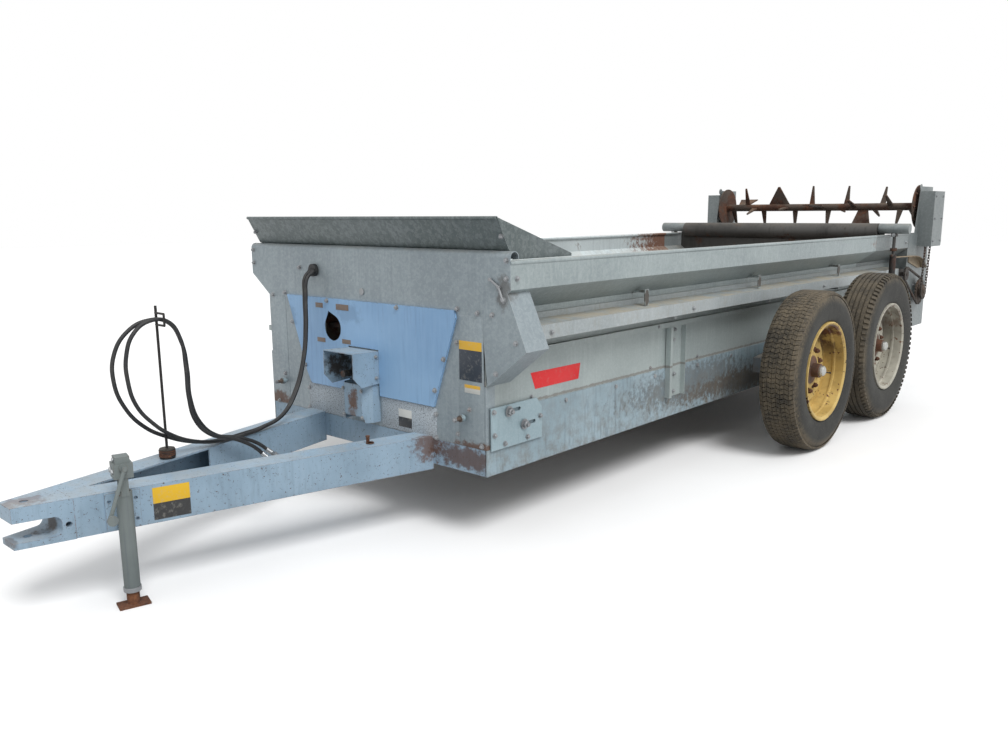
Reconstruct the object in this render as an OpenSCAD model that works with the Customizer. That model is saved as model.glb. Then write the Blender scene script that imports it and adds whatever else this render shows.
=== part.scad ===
// Tandem-axle manure spreader, parked on its wheels and its tongue jack.
// Millimetres. +X is the machine's left side, +Y is its rear, +Z is up.
// The origin is on the ground, halfway between hitch tip and rear edge.
// All modules are drawn from the front panel: y = 0 there, and on_body()
// moves them to the part's own origin.

/* [Overall] */
// Hitch tip to front panel
tongue_len = 1770; // [1500:10:2100]
// Front panel to the rear edge of the beater sides
body_len = 6050; // [5900:10:6300]
// Width over the tyres
track_over = 2830; // [2760:10:2900]

/* [Box] */
// Half width of the box at the rail, outer face
rail_x = 1010; // [980:5:1040]
// Half width of the box at the lower wall, outer face
wall_x = 856; // [830:2:870]
// Sheet thickness of walls and panels
wall_t = 4; // [3:0.5:6]
// Height of the front panel's top edge
front_top_z = 1380; // [1360:5:1420]
// Height of the side rail's top
rail_top_z = 1345; // [1330:5:1355]
// Height where the rail face turns inward
rail_low_z = 1217; // [1200:1:1230]
// Height where the slope meets the lower wall
slope_low_z = 1110; // [1090:1:1130]
// Height of the joint between upper and lower wall
wall_joint_z = 1080; // [1070:1:1085]
// Top of the floor
floor_z = 640; // [630:1:650]
// Floor thickness
floor_t = 30; // [20:1:34]
// Bottom of the sills
sill_low_z = 333; // [320:1:345]
// End of the front wall section, from the rear edge
split_back = 1450; // [1400:10:1550]
// Length of the beater sides
side_back = 610; // [602:2:618]

/* [Front] */
// Bottom edge of the front panel
panel_low_z = 461; // [450:1:470]
// Rise of the stone guard above the panel
guard_rise = 150; // [100:5:200]
// Forward lean of the stone guard
guard_lean = 78; // [60:2:100]
// Half width of the input shaft hood
hood_half = 120; // [100:2:140]
// How far the hood stands forward
hood_out = 178; // [150:2:190]
// Top of the hood
hood_top_z = 862; // [850:2:880]
// Height of the input shaft
input_z = 745; // [735:1:755]
// Diameter of the input shaft
input_d = 35; // [34:0.5:38]

/* [Tongue] */
// Half width of the tongue at the hitch tip
tip_half = 58; // [52:1:66]
// Half width of the tongue at the front panel
tongue_half = 500; // [480:5:520]
// Bottom of the tongue legs
leg_low_z = 305; // [300:1:312]
// Height of the tongue legs
leg_h = 165; // [155:1:172]
// Flange width of the leg channels
leg_flange = 132; // [110:2:150]
// Thickness of the leg channels
leg_t = 8; // [6:0.5:10]
// Length of the hitch clevis
clevis_len = 210; // [190:5:230]
// Diameter of the hitch pin hole
pin_d = 32; // [28:1:36]
// Opening of the clevis mouth
mouth_h = 80; // [70:1:86]

/* [Jack] */
// Distance of the jack behind the hitch tip
jack_back = 380; // [340:5:420]
// Outside diameter of the jack tube
jack_d = 62; // [58:1:64]
// Outside diameter of the inner leg
jack_leg_d = 50; // [44:1:51]
// Lower end of the jack tube
jack_low_z = 60; // [50:5:80]
// Top of the jack's gear head
jack_top_z = 625; // [600:5:640]
// Diameter of the swivel pin
swivel_d = 30; // [26:1:34]

/* [Wheels] */
// Outer radius of the front tyres
front_tyre_r = 522; // [515:1:530]
// Outer radius of the rear tyres
rear_tyre_r = 545; // [535:1:555]
// Width of the tyres
tyre_w = 250; // [240:2:260]
// Radius of the rim flange
rim_r = 324; // [320:1:328]
// Front axle behind the front panel
front_axle_y = 2670; // [2650:5:2700]
// Distance between the axles
axle_gap = 1189; // [1180:1:1220]
// Radius of the spindles
spindle_r = 35; // [30:1:38]
// Radial clearance of turning fits
turn_fit = 0.05; // [0.02:0.01:0.09]

/* [Beaters] */
// Upper beater shaft, from the rear edge
upper_back = 250; // [246:2:260]
// Upper beater height
upper_z = 1580; // [1560:5:1600]
// Upper beater tip radius
upper_r = 210; // [195:1:225]
// Lower beater shaft, from the rear edge
lower_back = 320; // [290:2:330]
// Lower beater height
lower_z = 810; // [800:2:820]
// Lower beater tip radius
lower_r = 275; // [260:1:282]
// Stations of teeth along each beater
beater_rows = 11; // [9:1:13]
// Inner half width between the beater sides
side_x = 1000; // [990:2:1004]
// Top of the beater sides
side_top_z = 1760; // [1740:5:1790]

/* [Gate] */
// Gate, from the rear edge
gate_back = 1170; // [1130:5:1190]
// Gate sheet thickness
gate_t = 6; // [4:0.5:8]
// Diameter of the gate's cross tube
gate_tube_d = 86; // [80:1:90]
// Stroke of the gate
gate_stroke = 500; // [450:10:520]

/* [Conveyor] */
// Chain distance from the centre line
chain_x = 600; // [560:5:640]
// Distance between the slats
slat_gap = 352; // [300:2:400]
// Height of the slats
slat_h = 26; // [20:1:30]
// Radius of the loop at its ends
loop_r = 62; // [58:1:66]

/* [Hidden] */
$fn = 48;

// Front panel's place in the part's frame
fy = (tongue_len - body_len) / 2;
galv = [0.66, 0.70, 0.74];
pale_blue = [0.60, 0.68, 0.76];
rust = [0.40, 0.27, 0.20];
dark = [0.20, 0.20, 0.21];

// Clearances
seat = 0.3;
clear = 6;
// Places along the box that follow its rear edge
wall_split_y = body_len - split_back;
beater_side_y = body_len - side_back;
upper_y = body_len - upper_back;
lower_y = body_len - lower_back;
gate_y = body_len - gate_back;
// Output wheel of the side drive
out_y = beater_side_y - 110;
out_z = 985;
out_r = 60;

// Placing and profiles
module on_body(c) { color(c) translate([0, fy, 0]) children(); }
module run_y(y0, y1) {
  translate([0, y1, 0]) rotate([90, 0, 0]) linear_extrude(y1 - y0) children();
}
module run_x(x0, x1) {
  translate([x0, 0, 0]) rotate([90, 0, 90]) linear_extrude(x1 - x0) children();
}
module block(a, b) { translate(a) cube(b - a); }
module rod_x(p, x0, x1, r) {
  translate([x0, p[0], p[1]]) rotate([0, 90, 0]) cylinder(h = x1 - x0, r = r);
}
module rod_y(p, y0, y1, r) {
  translate([p[0], y1, p[1]]) rotate([90, 0, 0]) cylinder(h = y1 - y0, r = r);
}
module rod_z(p, z0, z1, r) {
  translate([p[0], p[1], z0]) cylinder(h = z1 - z0, r = r);
}
module both() {
  children();
  mirror([1, 0, 0]) children();
}
// Outline of a bent sheet: points of one face, thickness to the left
function seg_n(a, b) = let (d = b - a, l = norm(d)) [-d[1] / l, d[0] / l];
function bend_off(p, i, t) =
  let (n = len(p),
       n0 = i == 0 ? seg_n(p[0], p[1]) : seg_n(p[i - 1], p[i]),
       n1 = i == n - 1 ? seg_n(p[n - 2], p[n - 1]) : seg_n(p[i], p[i + 1]))
  p[i] + (n0 + n1) * (t / (1 + n0 * n1));
function sheet(p, t) =
  concat(p, [for (i = [len(p) - 1:-1:0]) bend_off(p, i, t)]);
// Closed outline moved inward by t, corners counted anticlockwise
function inset(p, t) =
  [for (i = [0:len(p) - 1])
    let (a = p[(i + len(p) - 1) % len(p)], b = p[i], c = p[(i + 1) % len(p)],
         n0 = seg_n(a, b), n1 = seg_n(b, c))
    b + (n0 + n1) * (t / (1 + n0 * n1))];
function flip(p) = [for (q = p) [-q[0], q[1]]];

// Tongue: legs run from the clevis to the front panel
leg_turn = atan((tongue_half - tip_half) / tongue_len);
leg_top_z = leg_low_z + leg_h;
leg_end = clevis_len - tongue_len;
function leg_x(y) = tip_half + (y + tongue_len) * (tongue_half - tip_half) / tongue_len;
leg_run = (tongue_len + 40) / cos(leg_turn);
box_plate_y = -860;
// The legs meet here, just off the centre line
leg_meet = 0.2;

// One leg: channel with its web outside, boxed by a plate at the rear
module tongue_leg() {
  difference() {
    translate([tip_half, -tongue_len, 0]) rotate([0, 0, -leg_turn]) {
      difference() {
        block([-leg_flange, 0, leg_low_z], [0, leg_run, leg_top_z]);
        block([-leg_flange - 1, -1, leg_low_z + leg_t],
              [-leg_t, leg_run + 1, leg_top_z - leg_t]);
      }
      block([-leg_flange, (tongue_len + box_plate_y) / cos(leg_turn), leg_low_z + leg_t],
            [-leg_flange + leg_t, leg_run, leg_top_z - leg_t]);
    }
    block([-600, -tongue_len - 50, 0], [600, leg_end, 600]);
    block([-600, 0, 0], [600, 200, 600]);
    block([-600, -tongue_len, 0], [leg_meet, 200, 600]);
  }
}
module tongue_left_leg() { on_body(pale_blue) tongue_leg(); }
module tongue_right_leg() { on_body(pale_blue) mirror([1, 0, 0]) tongue_leg(); }

clevis_low_z = leg_low_z - 2;
clevis_top_z = leg_top_z;
mouth_z = clevis_low_z + 65 - mouth_h / 2;
mouth_r = 28;
mouth_deep = clevis_len - 45;
pin_y = 70 - tongue_len;
module hitch_clevis() {
  on_body(pale_blue) difference() {
    translate([0, 0, clevis_low_z]) linear_extrude(clevis_top_z - clevis_low_z)
      polygon([[-tip_half, -tongue_len], [tip_half, -tongue_len],
               [leg_x(leg_end), leg_end], [-leg_x(leg_end), leg_end]]);
    block([-200, -tongue_len - 1, mouth_z],
          [200, mouth_deep - tongue_len - mouth_r, mouth_z + mouth_h]);
    block([-200, -tongue_len + 20, mouth_z + mouth_r],
          [200, mouth_deep - tongue_len, mouth_z + mouth_h - mouth_r]);
    // Rounded inner corners of the mouth
    for (z = [mouth_z + mouth_r, mouth_z + mouth_h - mouth_r])
      rod_x([mouth_deep - tongue_len - mouth_r, z], -200, 200, mouth_r);
    rod_z([0, pin_y], clevis_low_z - 1, clevis_top_z + 1, pin_d / 2);
    rod_x([leg_end - 22, mouth_z + mouth_h / 2], -200, 200, 11);
  }
}

// Jack: swivels on a pin that stands out from the left leg
jack_y = jack_back - tongue_len;
swivel_z = leg_low_z + leg_h / 2;
mount_t = 10;
swivel_gap = 1;
hub_t = 12;
jack_off = mount_t + swivel_gap + hub_t + jack_d / 2 - 4;
jack_face = [leg_x(jack_y), jack_y];
// Local frame of the jack: x out of the leg's face, z up
module at_jack() {
  translate([jack_face[0], jack_face[1], 0]) rotate([0, 0, -leg_turn]) children();
}
module jack_mount() {
  on_body(pale_blue) at_jack() {
    difference() {
      block([0, -66, leg_low_z + 4], [mount_t, 66, leg_top_z - 4]);
      for (y = [-50, 50], z = [-44, 44])
        rod_x([y, swivel_z + z], -1, mount_t + 1, 7);
    }
    rod_x([0, swivel_z], mount_t, mount_t + swivel_gap + hub_t - 2, swivel_d / 2);
  }
}
head_low_z = jack_top_z - 86;
tube_top_z = head_low_z - 60;
head_half = [38, 36];
crank_z = head_low_z + 45;
module jack_body() {
  on_body([0.62, 0.64, 0.66]) at_jack() {
    difference() {
      union() {
        rod_z([jack_off, 0], jack_low_z, tube_top_z, jack_d / 2);
        rod_x([0, swivel_z], mount_t + swivel_gap, jack_off - 10, swivel_d / 2 + 12);
      }
      rod_z([jack_off, 0], jack_low_z - 1, tube_top_z + 1, jack_leg_d / 2 + 0.3);
      rod_x([0, swivel_z], mount_t, mount_t + swivel_gap + hub_t - 1.5,
            swivel_d / 2 + turn_fit);
    }
    translate([jack_off, 0, 0]) {
      // Straps from the tube to the gear head
      for (s = [-1, 1])
        block([s * jack_d / 2 - 2.5, -15, tube_top_z - 14],
              [s * jack_d / 2 + 2.5, 15, head_low_z + 4]);
      block([-head_half[0], -head_half[1], head_low_z], [head_half[0], head_half[1], jack_top_z - 26]);
      block([-head_half[0] + 9, -head_half[1] + 9, jack_top_z - 27],
            [head_half[0] - 9, head_half[1] - 9, jack_top_z]);
      rod_x([0, crank_z], head_half[0] - 2, head_half[0] + 10, 16);
    }
  }
}
// Crank: short axle, arm that hangs down and a handle outward
crank_out = head_half[0] + 24;
crank_drop = [-65, -185];
module jack_crank() {
  on_body(rust) at_jack() translate([jack_off, 0, crank_z]) {
    rod_x([0, 0], head_half[0] + 10 + seat, crank_out + 9, 9);
    translate([crank_out, 0, 0]) rotate([atan2(-crank_drop[0], crank_drop[1]), 0, 0])
      cylinder(h = norm(crank_drop), r = 8);
    rod_x(crank_drop, crank_out - 9, crank_out + 48, 8);
    rod_x(crank_drop, crank_out + 10, crank_out + 36, 12);
    rod_x(crank_drop, crank_out + 36, crank_out + 48, 20);
  }
}
foot_t = 8;
foot_half = [jack_off - 12, 60];
jack_leg_top_z = jack_low_z + 300;
module jack_leg() {
  on_body([0.50, 0.45, 0.40]) at_jack() translate([jack_off, 0, 0]) {
    block([-foot_half[0], -foot_half[1], 0], [foot_half[0], foot_half[1], foot_t]);
    rod_z([0, 0], foot_t, jack_leg_top_z, jack_leg_d / 2);
  }
}

// Hose holder: coil spring foot, upright rod and a hook over the tongue
holder_y = -1040;
holder_x = -leg_x(holder_y) + leg_flange - 36;
hook_z = 1090;
spring_r = 31;
wire_r = 5;
module hose_holder() {
  on_body(rust) translate([holder_x, holder_y, leg_top_z + seat]) {
    cylinder(h = 6, r = spring_r + wire_r - 2);
    for (i = [0:3]) translate([0, 0, 6 + wire_r * 0.9 + i * wire_r * 1.9]) rotate_extrude()
      translate([spring_r, 0]) circle(r = wire_r, $fn = 16);
    translate([0, 0, 6 + wire_r * 7]) cylinder(h = 5, r = spring_r + 2);
    cylinder(h = hook_z - leg_top_z + 70, r = 6, $fn = 24);
    translate([0, 0, hook_z - leg_top_z]) {
      for (s = [-1, 1]) translate([0, 0, s * 26 + 12]) rod_x([0, 0], -6, 70, 5);
      translate([70, 0, 12]) rod_z([0, 0], -26, 26, 5);
    }
  }
}

// Hoses: both leave the front panel, run along the right leg, over the hook
// and back, and end in couplers. Centre points in the panel's frame.
hose_r = 9;
hose_hole = [-401, 1250];
gland_out = 24;
hose_a_pts = [
  [-412, -25, 1250], [-412, -60, 1215], [-405, -75, 1120], [-390, -90, 960],
  [-365, -130, 790], [-330, -220, 620], [-290, -330, 520], [-262, -470, 486],
  [-235, -600, 481], [-208, -740, 482], [-185, -880, 505], [-165, -1020, 560],
  [-155, -1130, 630], [-150, -1210, 730], [-145, -1250, 850], [-140, -1240, 970],
  [-132, -1180, 1060], [-126, -1090, 1101], [-122, -1000, 1085],
  [-120, -945, 990], [-122, -925, 860], [-125, -920, 730], [-130, -880, 610],
  [-135, -800, 530], [-130, -700, 500], [-118, -600, 455], [-108, -530, 395]];
hose_b_pts = [
  [-384, -25, 1250], [-384, -64, 1210], [-378, -82, 1110], [-362, -100, 950],
  [-336, -145, 780], [-302, -235, 612], [-264, -345, 524], [-236, -480, 490],
  [-209, -610, 480], [-182, -750, 484], [-152, -890, 514], [-125, -1020, 575],
  [-116, -1110, 650], [-114, -1176, 740], [-108, -1206, 850],
  [-105, -1205, 960], [-103, -1165, 1055], [-102, -1090, 1101],
  [-100, -1010, 1090], [-98, -960, 1010], [-98, -945, 880], [-98, -942, 740],
  [-100, -915, 625], [-104, -840, 545], [-102, -740, 508], [-90, -640, 452],
  [-80, -575, 388]];
function crom(p, i, t) =
  let (n = len(p) - 1, a = p[max(i - 1, 0)], b = p[i], c = p[min(i + 1, n)],
       d = p[min(i + 2, n)])
  0.5 * (2 * b + (c - a) * t + (2 * a - 5 * b + 4 * c - d) * t * t
         + (3 * b - a - 3 * c + d) * t * t * t);
function dense(p, k) =
  concat([for (i = [0:len(p) - 2], j = [0:k - 1]) crom(p, i, j / k)], [p[len(p) - 1]]);
function tangent(p, i) =
  let (a = p[max(i - 1, 0)], b = p[min(i + 1, len(p) - 1)]) (b - a) / norm(b - a);
function unit(v) = v / norm(v);
module tube_sweep(p, r, sides) {
  rings = [for (i = [0:len(p) - 1])
    let (t = tangent(p, i), s = unit(cross(t, [0.96, 0.1, 0.12])), u = cross(s, t))
    [for (j = [0:sides - 1]) p[i] + r * (cos(360 * j / sides) * s + sin(360 * j / sides) * u)]];
  pts = [for (q = rings, v = q) v];
  n = len(rings);
  polyhedron(points = pts, faces = concat(
    [[for (j = [sides - 1:-1:0]) j]],
    [for (i = [0:n - 2], j = [0:sides - 1])
      [i * sides + j, i * sides + (j + 1) % sides,
       (i + 1) * sides + (j + 1) % sides, (i + 1) * sides + j]],
    [[for (j = [0:sides - 1]) (n - 1) * sides + j]]));
}
module hose_a() { on_body(dark) tube_sweep(concat([hose_a_pts[0] + [0, 4.4, 0]], hose_a_pts), hose_r, 8); }
module hose_b() { on_body(dark) tube_sweep(concat([hose_b_pts[0] + [0, 4.4, 0]], hose_b_pts), hose_r, 8); }
// Couplers: steel tips on both hose ends, along the hose's last run
function pitch(d) = [atan2(norm([d[0], d[1]]), d[2]), atan2(d[1], d[0])];
module coupler(p) {
  n = len(p) - 1;
  d = unit(p[n] - p[n - 1]);
  translate(p[n]) rotate([0, pitch(d)[0], pitch(d)[1]]) {
    translate([0, 0, seat]) {
      cylinder(h = 20, r = 13, $fn = 6);
      translate([0, 0, 20]) cylinder(h = 40, r = 15);
      translate([0, 0, 60]) cylinder(h = 12, r = 10);
    }
  }
}
module hose_couplers() {
  on_body([0.70, 0.68, 0.62]) {
    coupler(hose_a_pts);
    coupler(hose_b_pts);
  }
}

// Front panel: outline in X and Z
panel_side = [[rail_x, rail_low_z - 7], [wall_x - 10, slope_low_z - 18],
              [wall_x - 6, panel_low_z]];
roll_r = 30;
roll_z = front_top_z - 25;
panel_outline = concat([[rail_x, roll_z]], panel_side,
  flip([panel_side[2], panel_side[1], panel_side[0]]), [[-rail_x, roll_z]]);
shaft_hole_r = input_d / 2 + 12;
// Drop-shaped window: round below, pointed at the top
window_c = [-250, 948];
window_r = 70;
window_tip = [-32, 88];
tip_turn = acos(window_r / norm(window_tip));
tip_way = atan2(window_tip[1], window_tip[0]);
module drop() {
  translate(window_c) polygon(concat([window_tip],
    [for (k = [0:24]) let (a = tip_way + tip_turn + k * (360 - 2 * tip_turn) / 24)
      window_r * [cos(a), sin(a)]]));
}
module front_panel() {
  on_body(galv) {
    difference() {
      run_y(0, wall_t) polygon(panel_outline);
      rod_y([hose_hole[0], hose_hole[1]], -1, wall_t + 1, 27);
      rod_y([0, input_z], -1, wall_t + 1, shaft_hole_r);
      run_y(-1, wall_t + 1) translate(window_c + [-80, -80]) square([160, 178]);
    }
    // Top edge rolled to the rear, open at both ends
    run_x(-rail_x, rail_x) {
      difference() {
        translate([roll_r, roll_z]) circle(r = roll_r);
        translate([roll_r, roll_z]) circle(r = roll_r - wall_t);
        translate([-1, roll_z - roll_r - 1]) square([2 * roll_r + 2, roll_r + 1]);
      }
      translate([2 * roll_r - wall_t, roll_z - 5.5]) square([wall_t, 7]);
      translate([0, roll_z - 12]) square([wall_t, 13]);
    }
    // Side flanges, bent to the rear beside the walls
    both() {
      block([wall_x - 20, 0, panel_low_z], [wall_x + 3, wall_t, 762]);
      block([wall_x + seat, 0, panel_low_z], [wall_x + 3, 60, 762]);
    }
  }
}
grommet_r = 34;
module hose_grommet() {
  on_body(dark) {
    rod_y([hose_hole[0], hose_hole[1]], -20, 0, grommet_r);
    rod_y([hose_hole[0], hose_hole[1]], 0, wall_t, 26.7);
  }
}
// Stone guard: sheet that leans forward, with gussets back to the rails
guard_half = rail_x - 38;
guard_y0 = 2 * roll_r + seat;
guard_z1 = front_top_z + guard_rise + 2;
guard_y1 = guard_y0 - 23.3 - guard_lean;
guard_front = [[guard_y0, roll_z - 5.5], [guard_y0, roll_z + 17], [guard_y0 - 16.3, roll_z + 31.5],
               [guard_y0 - 23.3, roll_z + 33], [guard_y1, guard_z1]];
gusset_len = 430;
module front_guard() {
  on_body(galv) {
    run_x(-guard_half, guard_half) polygon(sheet(guard_front, -wall_t));
    rod_x([guard_y1 + 2, guard_z1 - 4], -guard_half + 4, guard_half - 4, 8);
    // End gussets run back above the rails
    both() run_x(guard_half - wall_t, guard_half)
      polygon(concat(guard_front, [
        [guard_y0 + gusset_len, rail_top_z + 14], [guard_y0 + gusset_len, rail_top_z + seat],
        [guard_y0 + wall_t, rail_top_z + seat], [guard_y0 + wall_t, roll_z - 5.5]]));
  }
}
cover_t = 3;
cover_deep = 12;
cover_outline = [[-455, 621], [522, 624], [680, 1068], [671, 1104], [-659, 1105],
                 [-503, 692], [-471, 633]];
module centre_panel() {
  on_body([0.50, 0.65, 0.81]) difference() {
    run_y(-cover_deep, 0) polygon(cover_outline);
    run_y(-cover_deep + cover_t, 1) polygon(inset(cover_outline, cover_t));
    run_y(-cover_deep - 1, 0) drop();
    block([-hood_half - 1, -cover_deep - 1, 500], [hood_half + 1, 1, hood_top_z + 1]);
  }
}
lower_cover = [[-100, 0], [-100, -60], [-70, -92], [70, -92], [110, -50], [110, 0]];
module pto_hood() {
  on_body(pale_blue) {
    difference() {
      run_x(-hood_half, hood_half)
        polygon([[0, hood_top_z - 172], [0, hood_top_z - 6], [-hood_out, hood_top_z],
                 [-hood_out, hood_top_z - 127], [-hood_out + 50, hood_top_z - 181]]);
      run_x(-hood_half + wall_t, hood_half - wall_t)
        polygon([[1, 0], [1, hood_top_z - 6 - wall_t], [-hood_out - 1, hood_top_z - wall_t],
                 [-hood_out - 1, 0]]);
    }
    // Lower cover, curved around the shaft's bearing
    difference() {
      translate([0, 0, 485]) linear_extrude(200) polygon(sheet(lower_cover, 3));
      rod_x([-150, 480], -200, 200, 70);
    }
  }
}
gearbox_y = [wall_t + 30, 215];
cross_y = 84;
cross_z = 945;
case_top = [126, 968];
module input_gearbox() {
  on_body([0.45, 0.45, 0.46]) {
    difference() {
      union() {
        block([-95, gearbox_y[0], floor_z + 12], [95, gearbox_y[1], input_z + 100]);
        rod_y([0, input_z], wall_t + seat, gearbox_y[0], 48);
        block([-60, gearbox_y[0] + 8, input_z + 100], [60, case_top[0], case_top[1]]);
      }
      rod_y([0, input_z], -10, 120, input_d / 2 + turn_fit);
    }
    // Cross shaft to the corner drive
    rod_x([cross_y, cross_z], -395, -60, 16);
    rod_x([cross_y, cross_z], 60, wall_x - wall_t - seat, 16);
    // Corner case that carries the line shaft's front end
    difference() {
      block([wall_x + seat, 8, line_z - 56], [line_x + 50, 60, line_z + 50]);
      rod_y([line_x, line_z], 29, 61, line_r + turn_fit);
    }
  }
}
collar_r = 46;
shaft_out = 150;
module pto_shaft() {
  on_body([0.42, 0.40, 0.38]) difference() {
    union() {
      rod_y([0, input_z], -shaft_out, 110, input_d / 2);
      rod_y([0, input_z], -60, -22, collar_r);
    }
    // Locking groove
    difference() {
      rod_y([0, input_z], 20 - shaft_out, 27 - shaft_out, input_d);
      rod_y([0, input_z], 19 - shaft_out, 28 - shaft_out, input_d / 2 - 3);
    }
  }
}
// Inner front wall slopes back to the floor and hides the drive
inner_wall = [[24, slope_low_z], [330, floor_z + 70], [330, floor_z + slat_h + 34]];
module inner_front_wall() {
  on_body([0.52, 0.48, 0.44]) run_x(-wall_x + wall_t + seat, wall_x - wall_t - seat)
    polygon(sheet(concat([[24, slope_low_z + 60]], inner_wall), wall_t));
}
module front_sill() {
  on_body(pale_blue) {
    run_x(-wall_x + 6, wall_x - 6)
      polygon(sheet([[60, panel_low_z - 1], [0, panel_low_z - 1], [0, sill_low_z], [60, sill_low_z]], 6));
  }
}

// Corner guard over the front end of the side drive
guard_box = [[833, 1143], [871, 767], [1105, 949], [990, 1212]];
// The flange under the slope of the wall
function under_slope(x) = [x, slope_low_z + (x - wall_x) * (rail_low_z - slope_low_z) / (rail_x - wall_x)
  - 0.53 * wall_t - 0.4];
guard_top = under_slope(990);
guard_in = under_slope(875);
module corner_guard() {
  on_body(galv) {
    run_y(-3.3, -seat) polygon(guard_box);
    difference() {
      run_y(-seat - 1, 155) polygon(sheet([guard_box[1], guard_box[2], guard_top, guard_in], 3));
      run_y(-seat, wall_t + seat) polygon([[700, rail_top_z], [rail_x + 0.5, rail_top_z],
        [rail_x + 0.5, rail_low_z - 7.3], [wall_x - 9.5, slope_low_z - 18.3],
        [wall_x - 5.5, 900], [700, 900]]);
    }
  }
}
// Chain take-ups: slotted plates on the walls and rods through the front
take_up = [[20, 455], [20, 660], [350, 660], [390, 612], [392, 455]];
take_rod = [722, 600];
take_studs = [[141, 628], [253, 546]];
take_run = 80;
module take_ups() {
  on_body([0.70, 0.71, 0.70]) both() {
    difference() {
      run_x(wall_x + 10, wall_x + 16) polygon(take_up);
      for (c = take_studs) {
        for (d = [0, take_run]) rod_x(c + [d, 0], wall_x, wall_x + 30, 9);
        block([wall_x, c[0], c[1] - 9], [wall_x + 30, c[0] + take_run, c[1] + 9]);
      }
    }
    for (c = take_studs) {
      rod_x(c, wall_x + 16, wall_x + 20, 20);
      rod_x(c, wall_x + 4, wall_x + 30, 8);
    }
    block([wall_x + 4, 40, 480], [wall_x + 10, 60, 640]);
    rod_y(take_rod, -66, 0, 9);
    rod_y(take_rod, -36, -14, 17);
  }
}

// Side walls: bent sheet from the rolled rail to the joint
upper_pts = [[rail_x - wall_t, rail_top_z - 20], [rail_x - wall_t, rail_low_z],
             [wall_x - wall_t, slope_low_z], [wall_x - wall_t, wall_joint_z]];
rail_roll_r = 12;
module upper_section(y0, y1) {
  run_y(y0, y1) polygon(sheet(upper_pts, wall_t));
  rod_y([rail_x - 8, rail_top_z - rail_roll_r], y0, y1, rail_roll_r);
}
clip_ys = [1180, 2560, 3950];
module upper_wall() {
  upper_section(wall_t + seat, wall_split_y);
}
module left_upper_wall() {
  on_body(galv) {
    upper_wall();
    // Small brackets over the shield, each on two short rods
    for (y = clip_ys) {
      block([wall_x + 91, y, slope_low_z - 64], [wall_x + 96, y + 40, slope_low_z + 25]);
      for (d = [9, 31])
        rod_x([y + d, slope_low_z + 12], wall_x + 13, wall_x + 93, 6);
    }
  }
}
module right_upper_wall() { on_body(galv) mirror([1, 0, 0]) upper_wall(); }

post_y = [1567, 1741];
stud_ys = [60, 820, 2300, 3000, 3700, 4400];
module lower_wall() {
  block([wall_x - wall_t, wall_t + seat, sill_top_z + seat], [wall_x, beater_side_y, wall_joint_z]);
  // Stiffener strip at the top of the lower panel
  block([wall_x, wall_t + seat, 880], [wall_x + 24, case_y[0] - 10, 910]);
}
// Post: channel with its flanges outward, over the seam and the sill
post_zs = [455, 879];
module post() {
  translate([0, 0, post_zs[0]]) linear_extrude(post_zs[1] - post_zs[0])
    polygon(sheet([[wall_x + 38, post_y[0] + 26], [wall_x + 38, post_y[0]], [wall_x + 4 + seat, post_y[0]],
                   [wall_x + 4 + seat, post_y[1]], [wall_x + 38, post_y[1]]], -3.5));
  block([wall_x - 1, post_y[0] + 20, 700], [wall_x + 6, post_y[1] - 20, 760]);
}
module left_lower_wall() {
  on_body(galv) {
    lower_wall();
    post();
  }
}
module right_lower_wall() {
  on_body(galv) mirror([1, 0, 0]) {
    lower_wall();
    post();
  }
}

// Side drive on the left: shield ledge and the line shaft beneath it
shield_x = 1000;
shield_pts = [[wall_x + 6, wall_joint_z - 3], [wall_x + 6, 1045], [shield_x, 1036], [shield_x, 970]];
shield_end = out_y - 80;
line_x = 930;
line_z = 985;
line_r = 19;
hanger_ends = [260, 150];
hanger_ys = [for (k = [0:4])
  hanger_ends[0] + k * (out_y - hanger_ends[1] - hanger_ends[0]) / 4];
shield_front = 170;
shield_foot = [1046, 1060];
module drive_shield() {
  on_body([0.62, 0.60, 0.50]) {
    run_y(shield_front, shield_end) polygon(sheet(shield_pts, 3));
    block([wall_x, shield_front, shield_foot[0]], [wall_x + 6, shield_end, shield_foot[1]]);
    // Bearing hangers
    for (y = hanger_ys) difference() {
      block([wall_x, y - 14, line_z - 40], [line_x + 36, y + 14, line_z + 38]);
      rod_y([line_x, line_z], y - 20, y + 20, line_r + turn_fit);
    }
  }
}
module drive_shaft() {
  on_body([0.40, 0.38, 0.36]) {
    rod_y([line_x, line_z], 30, out_y + 38, line_r);
    rod_y([line_x, line_z], 90, 150, 44);
    rod_y([line_x, line_z], out_y - 130, out_y - 80, 34);
  }
}

// Floor and chassis
deck_y = [300, beater_side_y - 70 - loop_r + 4];
deck_half = wall_x - wall_t - 1;
module floor_deck() {
  on_body([0.42, 0.36, 0.30])
    block([-deck_half, deck_y[0], floor_z - floor_t], [deck_half, deck_y[1], floor_z]);
}
sill_t = 6;
sill_top_z = floor_z - 5;
// The floor rests on this ledge of the sills
ledge_z = floor_z - floor_t - seat;
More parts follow.
